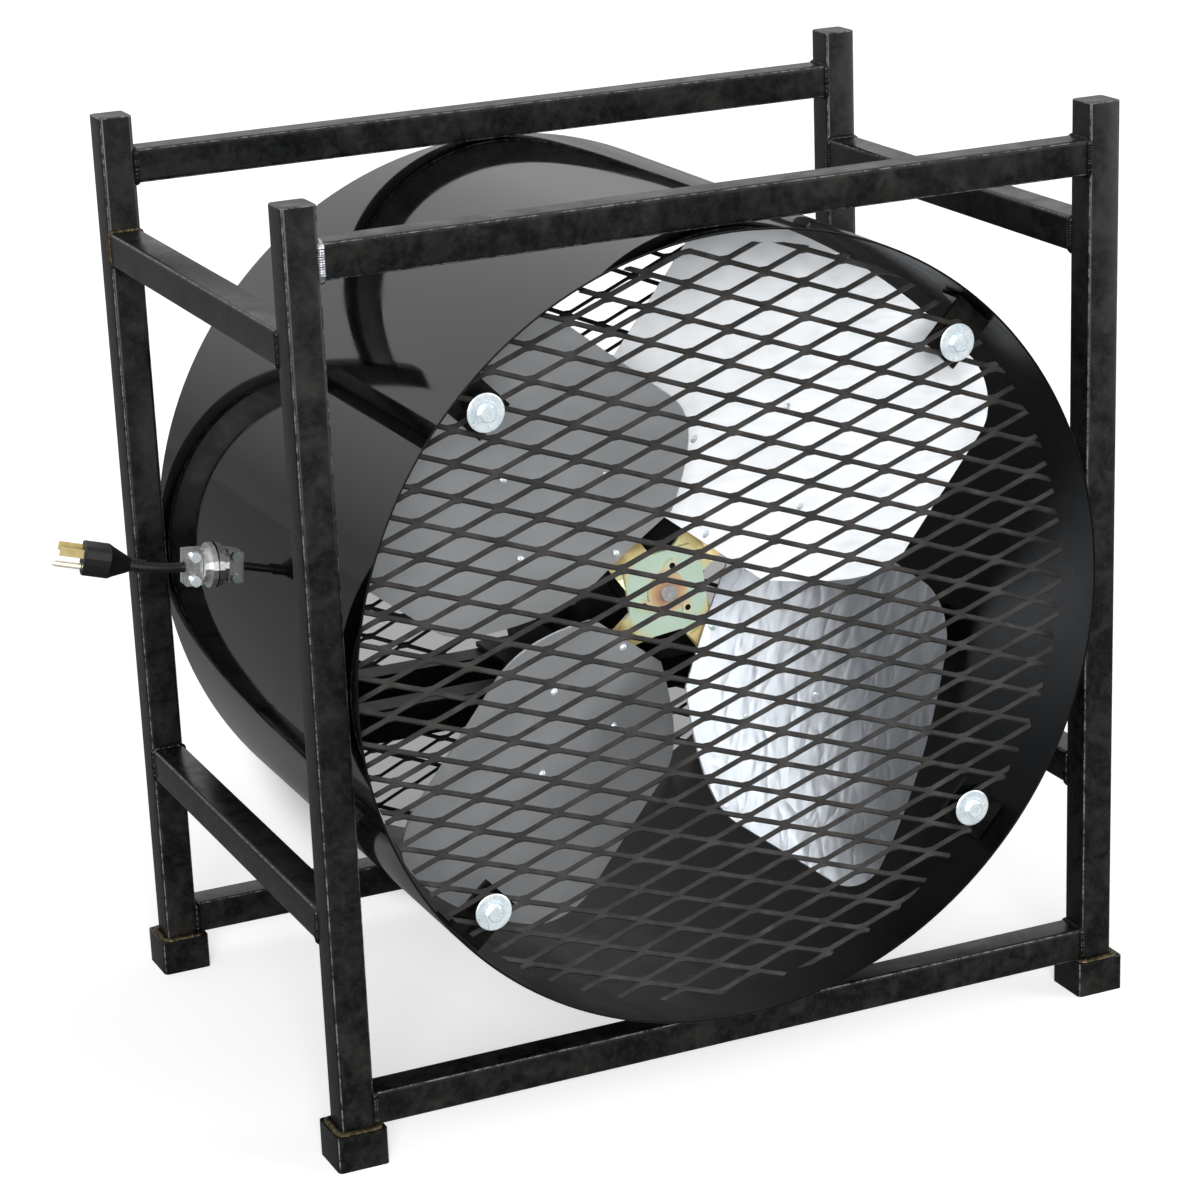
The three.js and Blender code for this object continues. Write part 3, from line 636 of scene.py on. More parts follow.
def square_tube(node, axis, closed_end=None):
    """A tube with round corners in place of a solid, along X, Y or Z (0, 1 or 2)."""
    low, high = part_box(node)
    bm = bmesh.new()
    rubbed_and_highlit = bm.faces.layers.float.new("rubbed_and_highlit_face")
    bmesh.ops.create_cube(bm, size=1)
    bmesh.ops.scale(bm, vec=high - low, verts=bm.verts)
    placed(bm, (low + high) / 2)
    ends = [f for f in bm.faces if abs(f.normal[axis]) > 0.5]
    opened = [f for f in ends if not (closed_end and f.normal[axis] * closed_end > 0)]
    bmesh.ops.delete(bm, geom=opened, context="FACES_ONLY")
    along = [e for e in bm.edges if abs((e.verts[0].co - e.verts[1].co)[axis]) > 1 * MM]
    corners = bevel(bm, along, corner_radius, segments=5)
    bm.normal_update()
    sides = [k for k in range(3) if k != axis]
    for face in corners:
        # Only the middle of a corner's five strips stands out far enough to be rubbed.
        # It also carries a painted highlight.
        face[rubbed_and_highlit] = abs(abs(face.normal[sides[0]]) - abs(face.normal[sides[1]])) < 0.1
    if closed_end:
        rim = [
            e
            for e in bm.edges
            if len(e.link_faces) == 2
            and sum(abs(f.normal[axis]) > 0.9 for f in e.link_faces) == 1
        ]
        for face in bevel(bm, rim, top_edge, segments=2):
            face[rubbed_and_highlit] = 1
    bmesh.ops.recalc_face_normals(bm, faces=bm.faces)
    worn_and_highlit = [f.calc_center_median() for f in bm.faces if f[rubbed_and_highlit] > 0.5]
    bmesh.ops.solidify(bm, geom=bm.faces[:], thickness=tube_wall)
    bm.faces.layers.float.remove(rubbed_and_highlit)
    made = piece(node + "_tube", bm, cage_enamel, stands_for=[node])
    mark_rubbed_and_highlit(made, worn_and_highlit)


for end in ("front", "rear"):
    for side in ("left", "right"):
        square_tube(f"post_{end}_{side}", axis=2, closed_end=1)
        square_tube(f"foot_{end}_{side}", axis=2)
    for level in ("top", "bottom"):
        square_tube(f"rail_{level}_{end}", axis=0)
for side in ("left", "right"):
    for level in ("upper", "lower"):
        square_tube(f"side_rail_{level}_{side}", axis=1)

# %% [markdown]
# ## Weld beads
#
# Each rail is welded all round where it butts against a post. The welder laid the bead in
# short steps, each of which froze as a ripple, so the bead is a bar swept round the rail's
# end whose radius rises and falls every 1.6 mm, with a little unsteadiness. A broader bead
# closes the gap between each foot and its post. Most beads were painted with the cage. The
# one at the front left, which the eye meets first, has been rubbed back to bright steel, and
# one at the upper left and those of the feet show the brown of their heat.

# %% Lay the beads
bead_radius = 2.6
bare_radius = 3.0
valley_share, ripple_share = 0.82, 0.16  # of the radius
rail_bead = {"half": 12.2, "corner": 3}
foot_bead = {"half": 15, "corner": 4}
foot_bead_drop = 0.8  # below the foot's top
ripple_step = 1.6
points_per_ripple = 4
hand = random.Random(7)


def swept(points, radii, closed=False):
    """A bmesh of a round bar along points, each with its own radius, all in metres."""
    curve = bpy.data.curves.new("sweep", "CURVE")
    curve.dimensions = "3D"
    curve.bevel_depth = 1  # so that each point's radius is the bar's
    curve.bevel_resolution = 4
    curve.use_fill_caps = True
    spline = curve.splines.new("POLY")
    spline.points.add(len(points) - 1)
    for knot, point, radius in zip(spline.points, points, radii):
        knot.co = (*point, 1)
        knot.radius = radius
    spline.use_cyclic_u = closed
    holder = bpy.data.objects.new("sweep", curve)
    mesh = bpy.data.meshes.new_from_object(holder)
    bm = bmesh.new()
    bm.from_mesh(mesh)
    bpy.data.batch_remove([holder, curve, mesh])
    return bm


def rounded_square(half, corner, step):
    """Points round a square with round corners, a step apart, in millimetres."""
    points = []
    flat = half - corner
    for side in range(4):
        turn = Matrix.Rotation(side * math.pi / 2, 2)
        count = max(2, round(2 * flat / step))
        for k in range(count):
            points.append(turn @ Vector((half, -flat + 2 * flat * k / count)))
        for k in range(3):
            angle = k * math.pi / 6
            around = Vector((math.cos(angle), math.sin(angle))) * corner
            points.append(turn @ (Vector((flat, flat)) + around))
    return points


def lay_bead(name, middle, axis, square, heights, finish):
    """A bead round a square that lies across X, Y or Z (0, 1 or 2).

    Heights are the bead's least radius, the ripples' height and the hand's unsteadiness.
    """
    least, rise, unsteady = heights
    points, radii = [], []
    for k, place in enumerate(rounded_square(**square, step=ripple_step / points_per_ripple)):
        offset = list(place)
        offset.insert(axis, 0)
        points.append(middle + Vector(offset) * MM)
        ripple = abs(math.sin(k * math.pi / points_per_ripple))
        radii.append((least + rise * ripple + hand.uniform(-unsteady, unsteady)) * MM)
    piece(name, swept(points, radii, closed=True), finish)


def rail_end_bead(rail, end_name, axis, way, finish=cage_enamel, radius=bead_radius):
    """The bead at one end of a rail that runs along X or Y (axis 0 or 1)."""
    low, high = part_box(rail)
    middle = (low + high) / 2
    middle[axis] = (high if way > 0 else low)[axis]
    heights = (radius * valley_share, radius * ripple_share, 0.1)
    lay_bead(f"bead_{rail}_{end_name}", middle, axis, rail_bead, heights, finish)


for end in ("front", "rear"):
    for level in ("top", "bottom"):
        for side, way in (("left", -1), ("right", 1)):
            bare = (end, level, side) == ("front", "top", "left")
            look = (weld_steel, bare_radius) if bare else ()
            rail_end_bead(f"rail_{level}_{end}", side, 0, way, *look)
for side in ("left", "right"):
    for level in ("upper", "lower"):
        for end, way in (("front", -1), ("rear", 1)):
            scorched = (side, level, end) == ("left", "upper", "rear")
            look = [heat_tint] if scorched else []
            rail_end_bead(f"side_rail_{level}_{side}", end, 1, way, *look)
for end in ("front", "rear"):
    for side in ("left", "right"):
        middle = sum(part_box(f"post_{end}_{side}"), Vector()) / 2
        middle.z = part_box(f"foot_{end}_{side}")[1].z - foot_bead_drop * MM
        name = f"bead_foot_{end}_{side}"
        lay_bead(name, middle, 2, foot_bead, (bead_radius, 0.35, 0.15), heat_tint)

# %% [markdown]
# ## The drum
#
# The drum is one rolled sheet. Its wall is drawn once as a long thin outline with dressed
# rims and turned about the fan's axis in 192 steps, so that its mirror image is smooth. The
# faces that look at the axis get the dull lining.

# %% Build the drum
drum_low, drum_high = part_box("drum_shell")
drum_radius = 287.5
drum_wall = 1.5
axis_place = Vector((0, 0, drum_height))

front_rim, rear_rim = drum_low.y / MM, drum_high.y / MM
edge = 0.5
drum_steps = 192
drum_outline = [
    (drum_radius - drum_wall, front_rim + edge),
    (drum_radius - drum_wall + edge, front_rim),
    (drum_radius - edge, front_rim),
    (drum_radius, front_rim + edge),
    (drum_radius, rear_rim - edge),
    (drum_radius - edge, rear_rim),
    (drum_radius - drum_wall + edge, rear_rim),
    (drum_radius - drum_wall, rear_rim - edge),
    (drum_radius - drum_wall, front_rim + edge),
]


def turned(outline, steps):
    """A bmesh turned about Y from an outline of (radius, y) corners, in millimetres."""
    bm = bmesh.new()
    corners = [bm.verts.new((radius * MM, y * MM, 0)) for radius, y in outline]
    edges = [bm.edges.new(pair) for pair in zip(corners, corners[1:])]
    bmesh.ops.spin(
        bm,
        geom=corners + edges,
        cent=(0, 0, 0),
        axis=(0, 1, 0),
        angle=2 * math.pi,
        steps=steps,
        use_merge=True,
    )
    bmesh.ops.remove_doubles(bm, verts=bm.verts, dist=0.001 * MM)
    return bm


drum = placed(turned(drum_outline, drum_steps), axis_place)
drum_piece = piece("drum_wall", drum, drum_enamel, stands_for=["drum_shell"])
drum_piece.data.materials.append(lining_enamel)
for polygon in drum_piece.data.polygons:
    outward = polygon.center - axis_place
    outward.y = 0
    if polygon.normal.dot(outward) < 0 and outward.length < (drum_radius - 1) * MM:
        polygon.material_index = 1
print("lining faces:", sum(p.material_index for p in drum_piece.data.polygons))

# %% [markdown]
# ## Expanded metal
#
# Expanded metal is one sheet, slit in rows and pulled open. Strands meet two at a time in
# bonds, and the pull tips every strand back by about half a right angle, so that the net
# stands deeper than the sheet it was cut from.
#
# One cell is a bond and the two strands that leave it to the right. The bond is a grid of two
# squares, given the sheet's thickness. Each half's end face is extruded to the opposite half
# of the next bond. Copies of the cell then meet end to end, and merging their corners makes
# one closed net. A ring of cutting planes trims it round.

# %% Build the expanded metal
mesh_long = 59 * MM  # from one bond to the next along a row
mesh_short = 23.9 * MM  # across the rows
bond_length = 6 * MM
strand_width = 3.5 * MM
strand_thickness = 2.1 * MM
strand_tip = math.radians(45)
sheet_radius = 275 * MM
sheet_shift = -6 * MM  # the sheet was bolted on a little to the left
sheet_tilt = math.radians(1)
crossing_shift = 14.1 * MM  # from the sheet's middle to the nearest bond
trim_cuts = 72


def new_corners(made):
    """The vertices among what a bmesh operator made."""
    return [g for g in made["geom"] if isinstance(g, bmesh.types.BMVert)]


def net_cell():
    """A bond and its two right-hand strands, with the bond's middle at the origin."""
    across = Vector((0, math.sin(strand_tip), math.cos(strand_tip))) * strand_width
    through = Vector((0, -math.cos(strand_tip), math.sin(strand_tip))) * strand_thickness
    bm = bmesh.new()
    bmesh.ops.create_grid(bm, x_segments=1, y_segments=2, size=1)
    for corner in bm.verts:
        end = Vector((corner.co.x * bond_length / 2, 0, 0))
        corner.co = end + across * corner.co.y - through / 2
    raised = new_corners(bmesh.ops.extrude_face_region(bm, geom=bm.faces[:]))
    bmesh.ops.translate(bm, vec=through, verts=raised)
    bm.normal_update()
    for way in (1, -1):
        start = Vector((bond_length / 2, 0, 0)) + across * way / 2
        end = Vector((mesh_long - bond_length, 0, way * mesh_short)) / 2 - across * way / 2
        face = next(f for f in bm.faces if (f.calc_center_median() - start).length < 0.01 * MM)
        strand_end = bmesh.ops.extrude_discrete_faces(bm, faces=[face])["faces"]
        bmesh.ops.translate(bm, vec=end - start, verts=strand_end[0].verts)
        bmesh.ops.delete(bm, geom=strand_end, context="FACES_ONLY")
    left_ends = [f for f in bm.faces if f.calc_center_median().x < 0.01 * MM - bond_length / 2]
    bmesh.ops.delete(bm, geom=left_ends, context="FACES_ONLY")
    return bm


def expanded_sheet():
    """A round sheet of expanded metal, with its middle at the origin and its front to -Y."""
    bm = net_cell()
    cell = bm.verts[:] + bm.edges[:] + bm.faces[:]
    spacing = mesh_long * math.sin(math.atan2(mesh_short, mesh_long))
    last = math.ceil((sheet_radius + mesh_long) / spacing)
    for p in range(-last, last + 1):
        for q in range(-last, last + 1):
            place = Vector(((p + q) * mesh_long / 2, 0, (p - q) * mesh_short / 2))
            reach = (place + Vector((crossing_shift, 0, 0))).length
            if (p, q) == (0, 0) or reach > sheet_radius + mesh_long:
                continue
            copied = new_corners(bmesh.ops.duplicate(bm, geom=cell))
            bmesh.ops.translate(bm, vec=place, verts=copied)
    bmesh.ops.remove_doubles(bm, verts=bm.verts, dist=0.02 * MM)
    placed(bm, (crossing_shift, 0, 0))
    for k in range(trim_cuts):
        angle = 2 * math.pi * k / trim_cuts
        outward = Vector((math.cos(angle), 0, math.sin(angle)))
        bmesh.ops.bisect_plane(
            bm,
            geom=bm.verts[:] + bm.edges[:] + bm.faces[:],
            dist=0.001 * MM,
            plane_co=outward * sheet_radius,
            plane_no=outward,
            clear_outer=True,
        )
    open_ends = [e for e in bm.edges if e.is_boundary]
    bmesh.ops.holes_fill(bm, edges=open_ends, sides=0)
    return bm


def guard(end, sheet, turn=None):
    """One guard, laid in the place of its solid."""
    low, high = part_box(f"grille_{end}")
    bm = placed(sheet.copy(), (sheet_shift, 0, 0), Matrix.Rotation(-sheet_tilt, 3, "Y"))
    placed(bm, Vector((0, (low.y + high.y) / 2, drum_height)), turn)
    name = f"expanded_metal_{end}"
    made = piece(name, bm, mesh_enamel, stands_for=[f"grille_{end}"])
    print(made.name, "faces:", len(made.data.polygons))


rear_turn = Matrix.Rotation(math.pi, 3, "Z")  # turns a front piece to face the rear
sheet = expanded_sheet()
guard("front", sheet)
guard("rear", sheet, rear_turn)
sheet.free()

# %% [markdown]
# ## Bolts
#
# Each guard bolt is a hexagon head on a wide washer. The washer and the shank are turned from
# one outline. The head's top is chamfered by a cone: a ring of 48 points follows the hexagon,
# and the farther a point lies from the axis, the lower the chamfer meets it, which gives the
# six arcs that a real head shows.

# %% Build the bolts
head_across_flats = 11.1
head_bottom, head_top = 2.5, 6.0  # above the washer's seat
chamfer_slope = 0.58
bolt_steps = 48


def bolt_outline(shank_length):
    """Washer, flange and shank as (radius, height above the seat)."""
    flange = [(0, 2.6), (7.9, 2.6), (8.3, 1.9), (8.4, 1.5)]
    washer = [(12.9, 1.35), (13.6, 0.9), (13.6, 0.3), (13.2, 0)]
    shank = [(3.2, 0), (3.2, 0.8 - shank_length), (2.6, -shank_length), (0, -shank_length)]
    return flange + washer + shank


def hexagon_head(bm, bottom, top):
    """Adds a chamfered hexagon head that stands along -Y, in millimetres."""
    ring = bmesh.ops.create_circle(bm, segments=bolt_steps, radius=1)["verts"]
    apothem = head_across_flats / 2
    angles = [math.atan2(v.co.y, v.co.x) for v in ring]
    reach = [apothem / math.cos((a % (math.pi / 3)) - math.pi / 6) for a in angles]
    chamfer = [top - 0.3 - (r - apothem * 0.96) * chamfer_slope for r in reach]
    crown = [apothem * 0.93] * bolt_steps
    levels = [(reach, [bottom] * bolt_steps), (reach, chamfer), (crown, [top] * bolt_steps)]
    edges = list({e for v in ring for e in v.link_edges})
    for number, (radii, heights) in enumerate(levels):
        if number:
            drawn = bmesh.ops.extrude_edge_only(bm, edges=edges)
            fresh = set(new_corners(drawn))
            edges = [g for g in drawn["geom"] if isinstance(g, bmesh.types.BMEdge)]
            edges = [e for e in edges if fresh.issuperset(e.verts)]
            order = {round(math.atan2(v.co.z, v.co.x), 3): v for v in fresh}
            ring = [order[round(a, 3)] for a in angles]
        for v, angle, radius, height in zip(ring, angles, radii, heights):
            v.co = Vector((radius * math.cos(angle), -height, radius * math.sin(angle))) * MM
    bmesh.ops.holes_fill(bm, edges=edges, sides=0)


def build_bolt(node, front):
    """A bolt with its washer, in the place of its solid."""
    low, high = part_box(node)
    length = (high.y - low.y) / MM
    bm = turned([(r, -h) for r, h in bolt_outline(length - head_top)], bolt_steps)
    hexagon_head(bm, head_bottom, head_top)
    seat = (low + high) / 2
    seat.y = low.y + head_top * MM if front else high.y - head_top * MM
    placed(bm, seat, None if front else rear_turn)
    name = node + "_smooth"
    piece(name, bm, bright_zinc, stands_for=[node], crisp_above=25)


for number in range(1, 5):
    build_bolt(f"bolt_front_{number}", front=True)
    build_bolt(f"bolt_rear_{number}", front=False)

# %% [markdown]
# ## The fan wheel
#
# Each blade is one pressed sheet of aluminium, hollow toward the front and pitched about its
# own radius. A fine grid is bent by the same rule as the solid's, then given its thickness.

# %% Build the blades
hub_place = Vector((0, -100.3 * MM, drum_height))
first_blade_angle = math.radians(51.3)
pitch = math.radians(26)
blade_root, blade_tip, blade_chord = 45, 275, 254
root_chord, root_round, tip_round = 104, 82, 34
camber = 11
blade_thickness = 1.6


def half_width(along):
    """Half the blade's chord at a distance from the axis, in millimetres."""
    before_full = max(0, (blade_root + root_round - along) / root_round)
    into_tip = max(0, along - (blade_tip - tip_round))
    corner = tip_round - math.sqrt(max(0, tip_round**2 - into_tip**2))
    widening = (blade_chord - root_chord) / 2 * (1 - before_full**2)
    return root_chord / 2 + widening - corner


def on_blade(along, across, above=0.0):
    """A point of the pitched, cambered blade that lies along X, in millimetres."""
    dip = camber * (1 - (across / (blade_chord / 2)) ** 2)
    height = above - dip
    return Vector(
        (
            along,
            across * math.sin(pitch) - height * math.cos(pitch),
            across * math.cos(pitch) + height * math.sin(pitch),
        )
    )


def bent_blade(steps_along, steps_across):
    """A fine flat grid, extruded to two skins and bent into a blade that lies along X."""
    bm = bmesh.new()
    bmesh.ops.create_grid(bm, x_segments=steps_along, y_segments=steps_across, size=1)
    front = new_corners(bmesh.ops.extrude_face_region(bm, geom=bm.faces[:]))
    bmesh.ops.translate(bm, vec=(0, 0, 1), verts=front)
    for corner in bm.verts:
        share = (1 + math.sin(corner.co.x * math.pi / 2)) / 2
        along = blade_root + (blade_tip - blade_root) * share
        across = half_width(along) * corner.co.y
        tip = math.sqrt(blade_tip**2 - (across * math.cos(pitch)) ** 2)
        along = blade_root + (along - blade_root) * (tip - blade_root) / (blade_tip - blade_root)
        corner.co = on_blade(along, across, blade_thickness * (corner.co.z - 0.5)) * MM
    return bm


def set_on_wheel(bm, index):
    """Turns a bmesh that lies along X to a blade's place on the wheel."""
    turn = Matrix.Rotation(-first_blade_angle - index * math.pi / 2, 3, "Y")
    return placed(bm, hub_place, turn)


for index in range(4):
    node = f"blade_{index + 1}"
    blade = set_on_wheel(bent_blade(64, 40), index)
    finish = handled_aluminium if index == 3 else rolled_aluminium
    piece(node + "_sheet", blade, finish, "fan_wheel", [node])

# %% [markdown]
# ## Rivets
#
# Four rivets hold each blade to its arm, and three darker ones hold the bushing's ears to the
# plate. A rivet's head is a low dome, turned from a short outline and laid flat on the sheet.

# %% Set the rivets
blade_dome = [(0, -1.3), (1.2, -1.2), (2.3, -0.85), (3.1, -0.3), (3.3, 0.1), (0, 0.1)]
ear_dome = [(0, -0.5), (1.9, -0.5), (2.3, -0.1), (2.3, 0.1), (0, 0.1)]
rivet_steps = 20
blade_rivets = [(50.8, 0), (104, -47), (104, 44.5), (160, 0)]  # along and across the blade
spider_thickness = 3
bushing_seat, bushing_flange = 0.3, 2.5
ear_radius, first_ear_angle = 20.5, 79

for index in range(4):
    heads = bmesh.new()
    for along, across in blade_rivets:
        lean = pitch - 2 * camber * across / (blade_chord / 2) ** 2
        place = on_blade(along, across, blade_thickness / 2) * MM
        dome = placed(turned(blade_dome, rivet_steps), place, Matrix.Rotation(lean, 3, "X"))
        mesh = bpy.data.meshes.new("dome")
        dome.to_mesh(mesh)
        dome.free()
        heads.from_mesh(mesh)
        bpy.data.meshes.remove(mesh)
    set_on_wheel(heads, index)
    piece(f"blade_{index + 1}_rivets", heads, bright_zinc, "fan_wheel")

plate_y = camber * math.cos(pitch) - spider_thickness
flange_front = plate_y - spider_thickness / 2 - bushing_seat - bushing_flange
for number in range(3):
    angle = math.radians(first_ear_angle - 120 * number)
    around = Vector((ear_radius * math.cos(angle), flange_front, ear_radius * math.sin(angle)))
    dome = placed(turned(ear_dome, rivet_steps), hub_place + around * MM)
    piece(f"bushing_rivet_{number + 1}", dome, dark_rivet, "fan_wheel")

# %% [markdown]
# ## Shaft end and motor housing
#
# The shaft's end is chamfered and has the small pit that a lathe's centre leaves. The motor's
# shell and bells are turned bodies too. Their outlines are those of the solids, with rounded
# edges, a shallow groove where bell and shell meet, and enough steps to look round.

# %% Turn the shaft and the motor


def turned_piece(node, outline, steps, finish, body="cage"):
    """A body turned about the fan's axis that stands for a solid."""
    bm = placed(turned(outline, steps), axis_place)
    piece(node + "_turned", bm, finish, body, [node], crisp_above=28)


shaft_radius = 6.35
shaft_steps, motor_steps = 48, 96
low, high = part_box("motor_shaft")
front_y, rear_y = low.y / MM, high.y / MM
turned_piece(
    "motor_shaft",
    [
        (0, front_y + 1.6),
        (0.7, front_y + 1.3),
        (1.7, front_y),
        (shaft_radius - 0.75, front_y),
        (shaft_radius, front_y + 0.8),
        (shaft_radius, rear_y),
        (0, rear_y),
    ],
    shaft_steps,
    ground_steel,
    "fan_wheel",
)

motor_radius, bell_rim, bell_face, bell_length = 70, 16, 50, 33
boss_radius, boss_height = 21, 7
low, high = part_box("motor_shell")
shell_front, shell_rear = low.y / MM, high.y / MM
bore = shaft_radius + 0.3
turned_piece(
    "motor_shell",
    [
        (bore, shell_front),
        (motor_radius - 2, shell_front),
        (motor_radius - 0.6, shell_front + 0.6),
        (motor_radius, shell_front + 2),
        (motor_radius, shell_rear - 2),
        (motor_radius - 0.6, shell_rear - 0.6),
        (motor_radius - 2, shell_rear),
        (bore, shell_rear),
        (bore, shell_front),
    ],
    motor_steps,
    motor_enamel,
)


def bell_outline(shell_end, way):
    """A bell from its rim to the top of its boss, with rounded edges."""
    return [
        (radius, shell_end + way * height)
        for radius, height in [
            (motor_radius - 1.5, 0),
            (motor_radius, 1),
            (motor_radius, bell_rim - 3),
            (motor_radius - 1.2, bell_rim + 0.4),
            (bell_face + 4.5, bell_length - 6.4),
            (bell_face - 1, bell_length - 3),
            (boss_radius + 3.5, bell_length - 0.1),
            (boss_radius + 0.6, bell_length + 0.9),
            (boss_radius, bell_length + boss_height - 1),
            (boss_radius - 1, bell_length + boss_height),
        ]
    ]


low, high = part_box("motor_bell_front")
bell_end = high.y / MM
outline = bell_outline(bell_end, -1)
outline = [(bore, bell_end)] + outline + [(bore, low.y / MM), (bore, bell_end)]
turned_piece("motor_bell_front", outline, motor_steps, motor_enamel)
low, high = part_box("motor_bell_rear")
bell_end = low.y / MM
shaft_room = rear_y + 4
outline = bell_outline(bell_end, 1) + [(0, high.y / MM)]
outline = [(0, shaft_room), (bore, shaft_room), (bore, bell_end)] + outline
turned_piece("motor_bell_rear", outline, motor_steps, motor_enamel)

# %% [markdown]
# ## Solids that keep their shape
#
# The folded, cast and moulded pieces are small or half hidden, and their solids already have
# every form that shows. They get a finish and nothing else.

# %% Dress the solids that keep their shape
kept_solids = [
    (yellow_zinc, ["fan_spider"]),
    (copper_flash, ["hub_bushing"]),
    (motor_enamel, ["motor_base"]),
    (lining_enamel, ["motor_support_front", "motor_support_rear"]),
    (cast_zinc, ["cord_connector", "clamp_saddle"]),
    (bright_zinc, ["clamp_screw_1", "clamp_screw_2", "connector_locknut"]),
    (black_compound, ["plug_body"]),
    (drawn_brass, ["plug_prong_1", "plug_prong_2"]),
    (nickel_brass, ["plug_ground_pin"]),
    (cage_enamel, [f"tab_{end}_{k}" for end in ("front", "rear") for k in range(1, 5)]),
]
for finish, nodes in kept_solids:
    for node in nodes:
        slots = frame["nodes"][node].data.materials
        slots.clear()
        slots.append(finish)
    print(finish.name, "on", ", ".join(nodes))

# %% [markdown]
# ## The cord
#
# The cord leaves the drum's left side through its clamp and ends in the plug after a hand's
# breadth. The photograph shows it end to end, so that is its length. It runs straight
# through the clamp and then bends slightly back and up into the plug. Its points are those
# of the CAD model, turned from the connector's own frame into the fan's.

# %% Build the cord
cord_radius = 3.8
cord_seat = 0.3
cord_straight, cord_bend = 26, 25
cord_drift, cord_rise = math.radians(11), math.radians(10)
connector_angle = math.radians(175.6)
connector_y = 78.1

out_of_drum = Vector((math.cos(connector_angle), 0, math.sin(connector_angle)))
toward_back = Vector((0, 1, 0))
sideways = out_of_drum.cross(toward_back)
connector_place = out_of_drum * drum_radius + Vector((0, connector_y, drum_height / MM))


def from_connector(x, y, z):
    """A point of the connector's frame as a point of the fan's frame, in metres."""
    return (connector_place + out_of_drum * x + toward_back * y + sideways * z) * MM


plug_way = Vector((1, 0, 0))
plug_way.rotate(Matrix.Rotation(cord_drift, 3, "Z"))
plug_way.rotate(Matrix.Rotation(cord_rise, 3, "Y"))
bend_start = Vector((cord_straight, 0, 0))
bend_middle = Vector((cord_straight + cord_bend / 2, 0, 0))
bend_end = bend_middle + plug_way * cord_bend / 2


def cord_route():
    """The cord's middle line: a straight run and one gentle bend, in 25 points."""
    straight = [Vector((cord_seat + (cord_straight - cord_seat) * k / 8, 0, 0)) for k in range(8)]
    bend = []
    for t in (k / 16 for k in range(17)):
        pull = bend_middle * 2 * t * (1 - t)
        bend.append(bend_start * (1 - t) ** 2 + pull + bend_end * t**2)
    return [from_connector(*point) for point in straight + bend]


route = cord_route()
cord = piece(
    "cord_jacket",
    swept(route, [cord_radius * MM] * len(route)),
    black_compound,
    stands_for=["supply_cord"],
)

# %% [markdown]
# ## Floor and light
#
# The fan stands on a plain pale floor before a white ground, as in the photograph, where the
# floor and the walls were made white afterwards. So the world is white to the camera. In a
# mirror image it is a pale wall that darkens toward a greyer floor, which gives the enamel
# its depth, and as a light it is weak. The floor is lifted to white for the camera alone.
# Under the drum, inside an ellipse that its outline covers for the photographer, the lift
# fades out. That dark ellipse is a painted shadow, laid over the lamp's own shadow on the
# floor seen through the rear guard.
#
# Two distant soft lamps do the rest. The key stands at the camera, so that its shadow falls
# behind the fan. The fill comes in low from the right, and gives one blade its bright half.

# %% Set the floor
floor_half = 6
floor_lift = 0.56
# The ellipse of the painted shadow, where the floor's lift fades out:
shadow_middle = Vector((0.33, 0.72, 0))
shadow_turn = math.radians(62)
shadow_reach = Vector((0.74, 0.38, 1))
shadow_fade = (0.84, 0.97)

floor_mesh = bmesh.new()
bmesh.ops.create_grid(floor_mesh, x_segments=1, y_segments=1, size=floor_half)
floor_data = bpy.data.meshes.new("floor")
floor_mesh.to_mesh(floor_data)
floor_mesh.free()
floor = bpy.data.objects.new("floor", floor_data)
bpy.context.scene.collection.objects.link(floor)

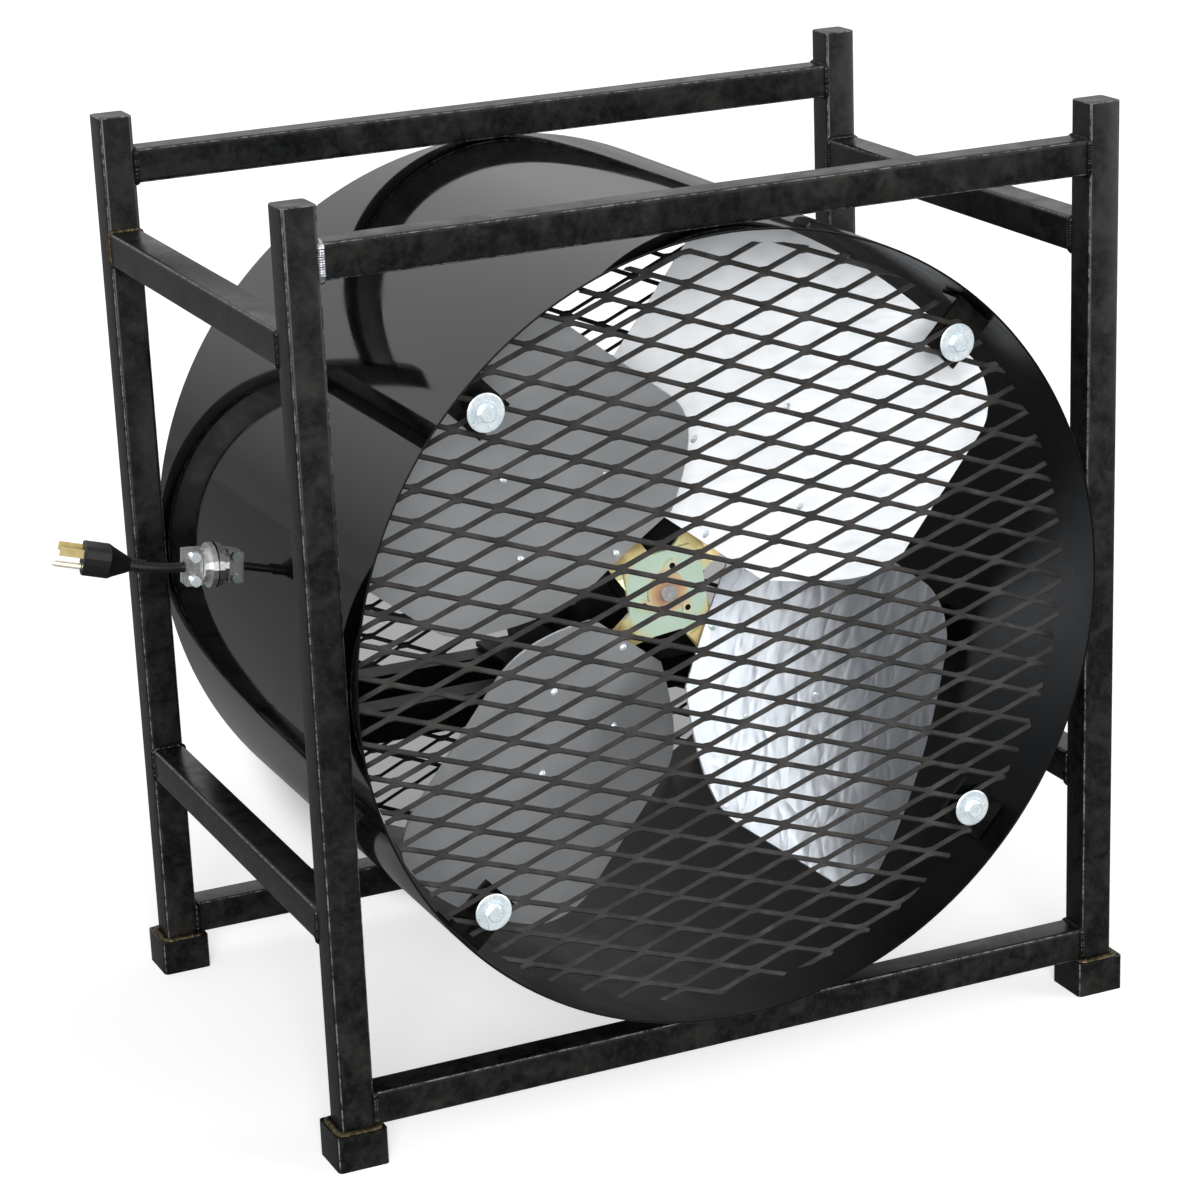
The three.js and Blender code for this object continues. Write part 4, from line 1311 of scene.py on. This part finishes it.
floor_paint, floor_place = new_finish("pale_floor")
floor_ray = add(floor_paint, "LightPath")
floor_colour = add(
    floor_paint,
    "Mix",
    {"data_type": "RGBA", 6: linear("#f0f0f0"), 7: linear("#ababab")},
    {0: floor_ray.outputs["Is Glossy Ray"]},
)
matt = add(floor_paint, "BsdfDiffuse", None, {"Color": floor_colour.outputs[2]})
in_shadow = add(
    floor_paint,
    "Mapping",
    {
        "vector_type": "TEXTURE",
        "Location": shadow_middle,
        "Rotation": Vector((0, 0, shadow_turn)),
        "Scale": shadow_reach,
    },
    {"Vector": floor_place},
)
from_shadow = add(
    floor_paint, "VectorMath", {"operation": "LENGTH"}, {0: in_shadow.outputs["Vector"]}
)
outside = add(
    floor_paint,
    "MapRange",
    {
        "interpolation_type": "SMOOTHSTEP",
        "From Min": shadow_fade[0],
        "From Max": shadow_fade[1],
        "To Max": floor_lift,
    },
    {"Value": from_shadow.outputs["Value"]},
)
lift = add(
    floor_paint,
    "Math",
    {"operation": "MULTIPLY"},
    {0: outside.outputs["Result"], 1: floor_ray.outputs["Is Camera Ray"]},
)
glow = add(floor_paint, "Emission", {"Color": linear("#ffffff")}, {"Strength": lift.outputs[0]})
both = add(floor_paint, "AddShader", None, {0: matt.outputs[0], 1: glow.outputs[0]})
add(floor_paint, "OutputMaterial", None, {"Surface": both.outputs[0]})
floor_data.materials.append(floor_paint)
print("floor:", tuple(round(side, 2) for side in floor.dimensions))

# %% Set the world
weak_light = 0.34
white = 1.0

world = bpy.data.worlds.new("white_ground")
bpy.context.scene.world = world
world.use_nodes = True
world.node_tree.nodes.clear()
ray = add(world, "LightPath")
direction = add(world, "SeparateXYZ", None, {0: add(world, "TexCoord").outputs["Generated"]})
wall = add(
    world,
    "MapRange",
    {"From Max": 0.3, "To Min": 0.35, "To Max": 1.0},
    {"Value": direction.outputs["Z"]},
)
mirrored = add(
    world, "Mix", {2: weak_light}, {0: ray.outputs["Is Glossy Ray"], 3: wall.outputs["Result"]}
)
strength = add(world, "Mix", {3: white}, {0: ray.outputs["Is Camera Ray"], 2: mirrored.outputs[0]})
ground = add(world, "Background", {"Color": linear("#ffffff")}, {"Strength": strength.outputs[0]})
add(world, "OutputWorld", None, {"Surface": ground.outputs[0]})
print("world:", world.name)

# %% Hang the lamps


def soft_sun(name, azimuth, elevation, width, strength):
    """A distant soft lamp. The azimuth is zero in front and grows to the left."""
    data = bpy.data.lights.new(name, "SUN")
    data.angle = math.radians(width)
    data.energy = strength
    lamp = bpy.data.objects.new(name, data)
    lamp.rotation_euler = (math.radians(90 - elevation), 0, math.radians(-azimuth))
    bpy.context.scene.collection.objects.link(lamp)


soft_sun("key_lamp", azimuth=23, elevation=17, width=26, strength=2.6)
soft_sun("fill_lamp", azimuth=-55, elevation=14, width=36, strength=1.3)
print("lamps:", [light.name for light in bpy.data.lights])
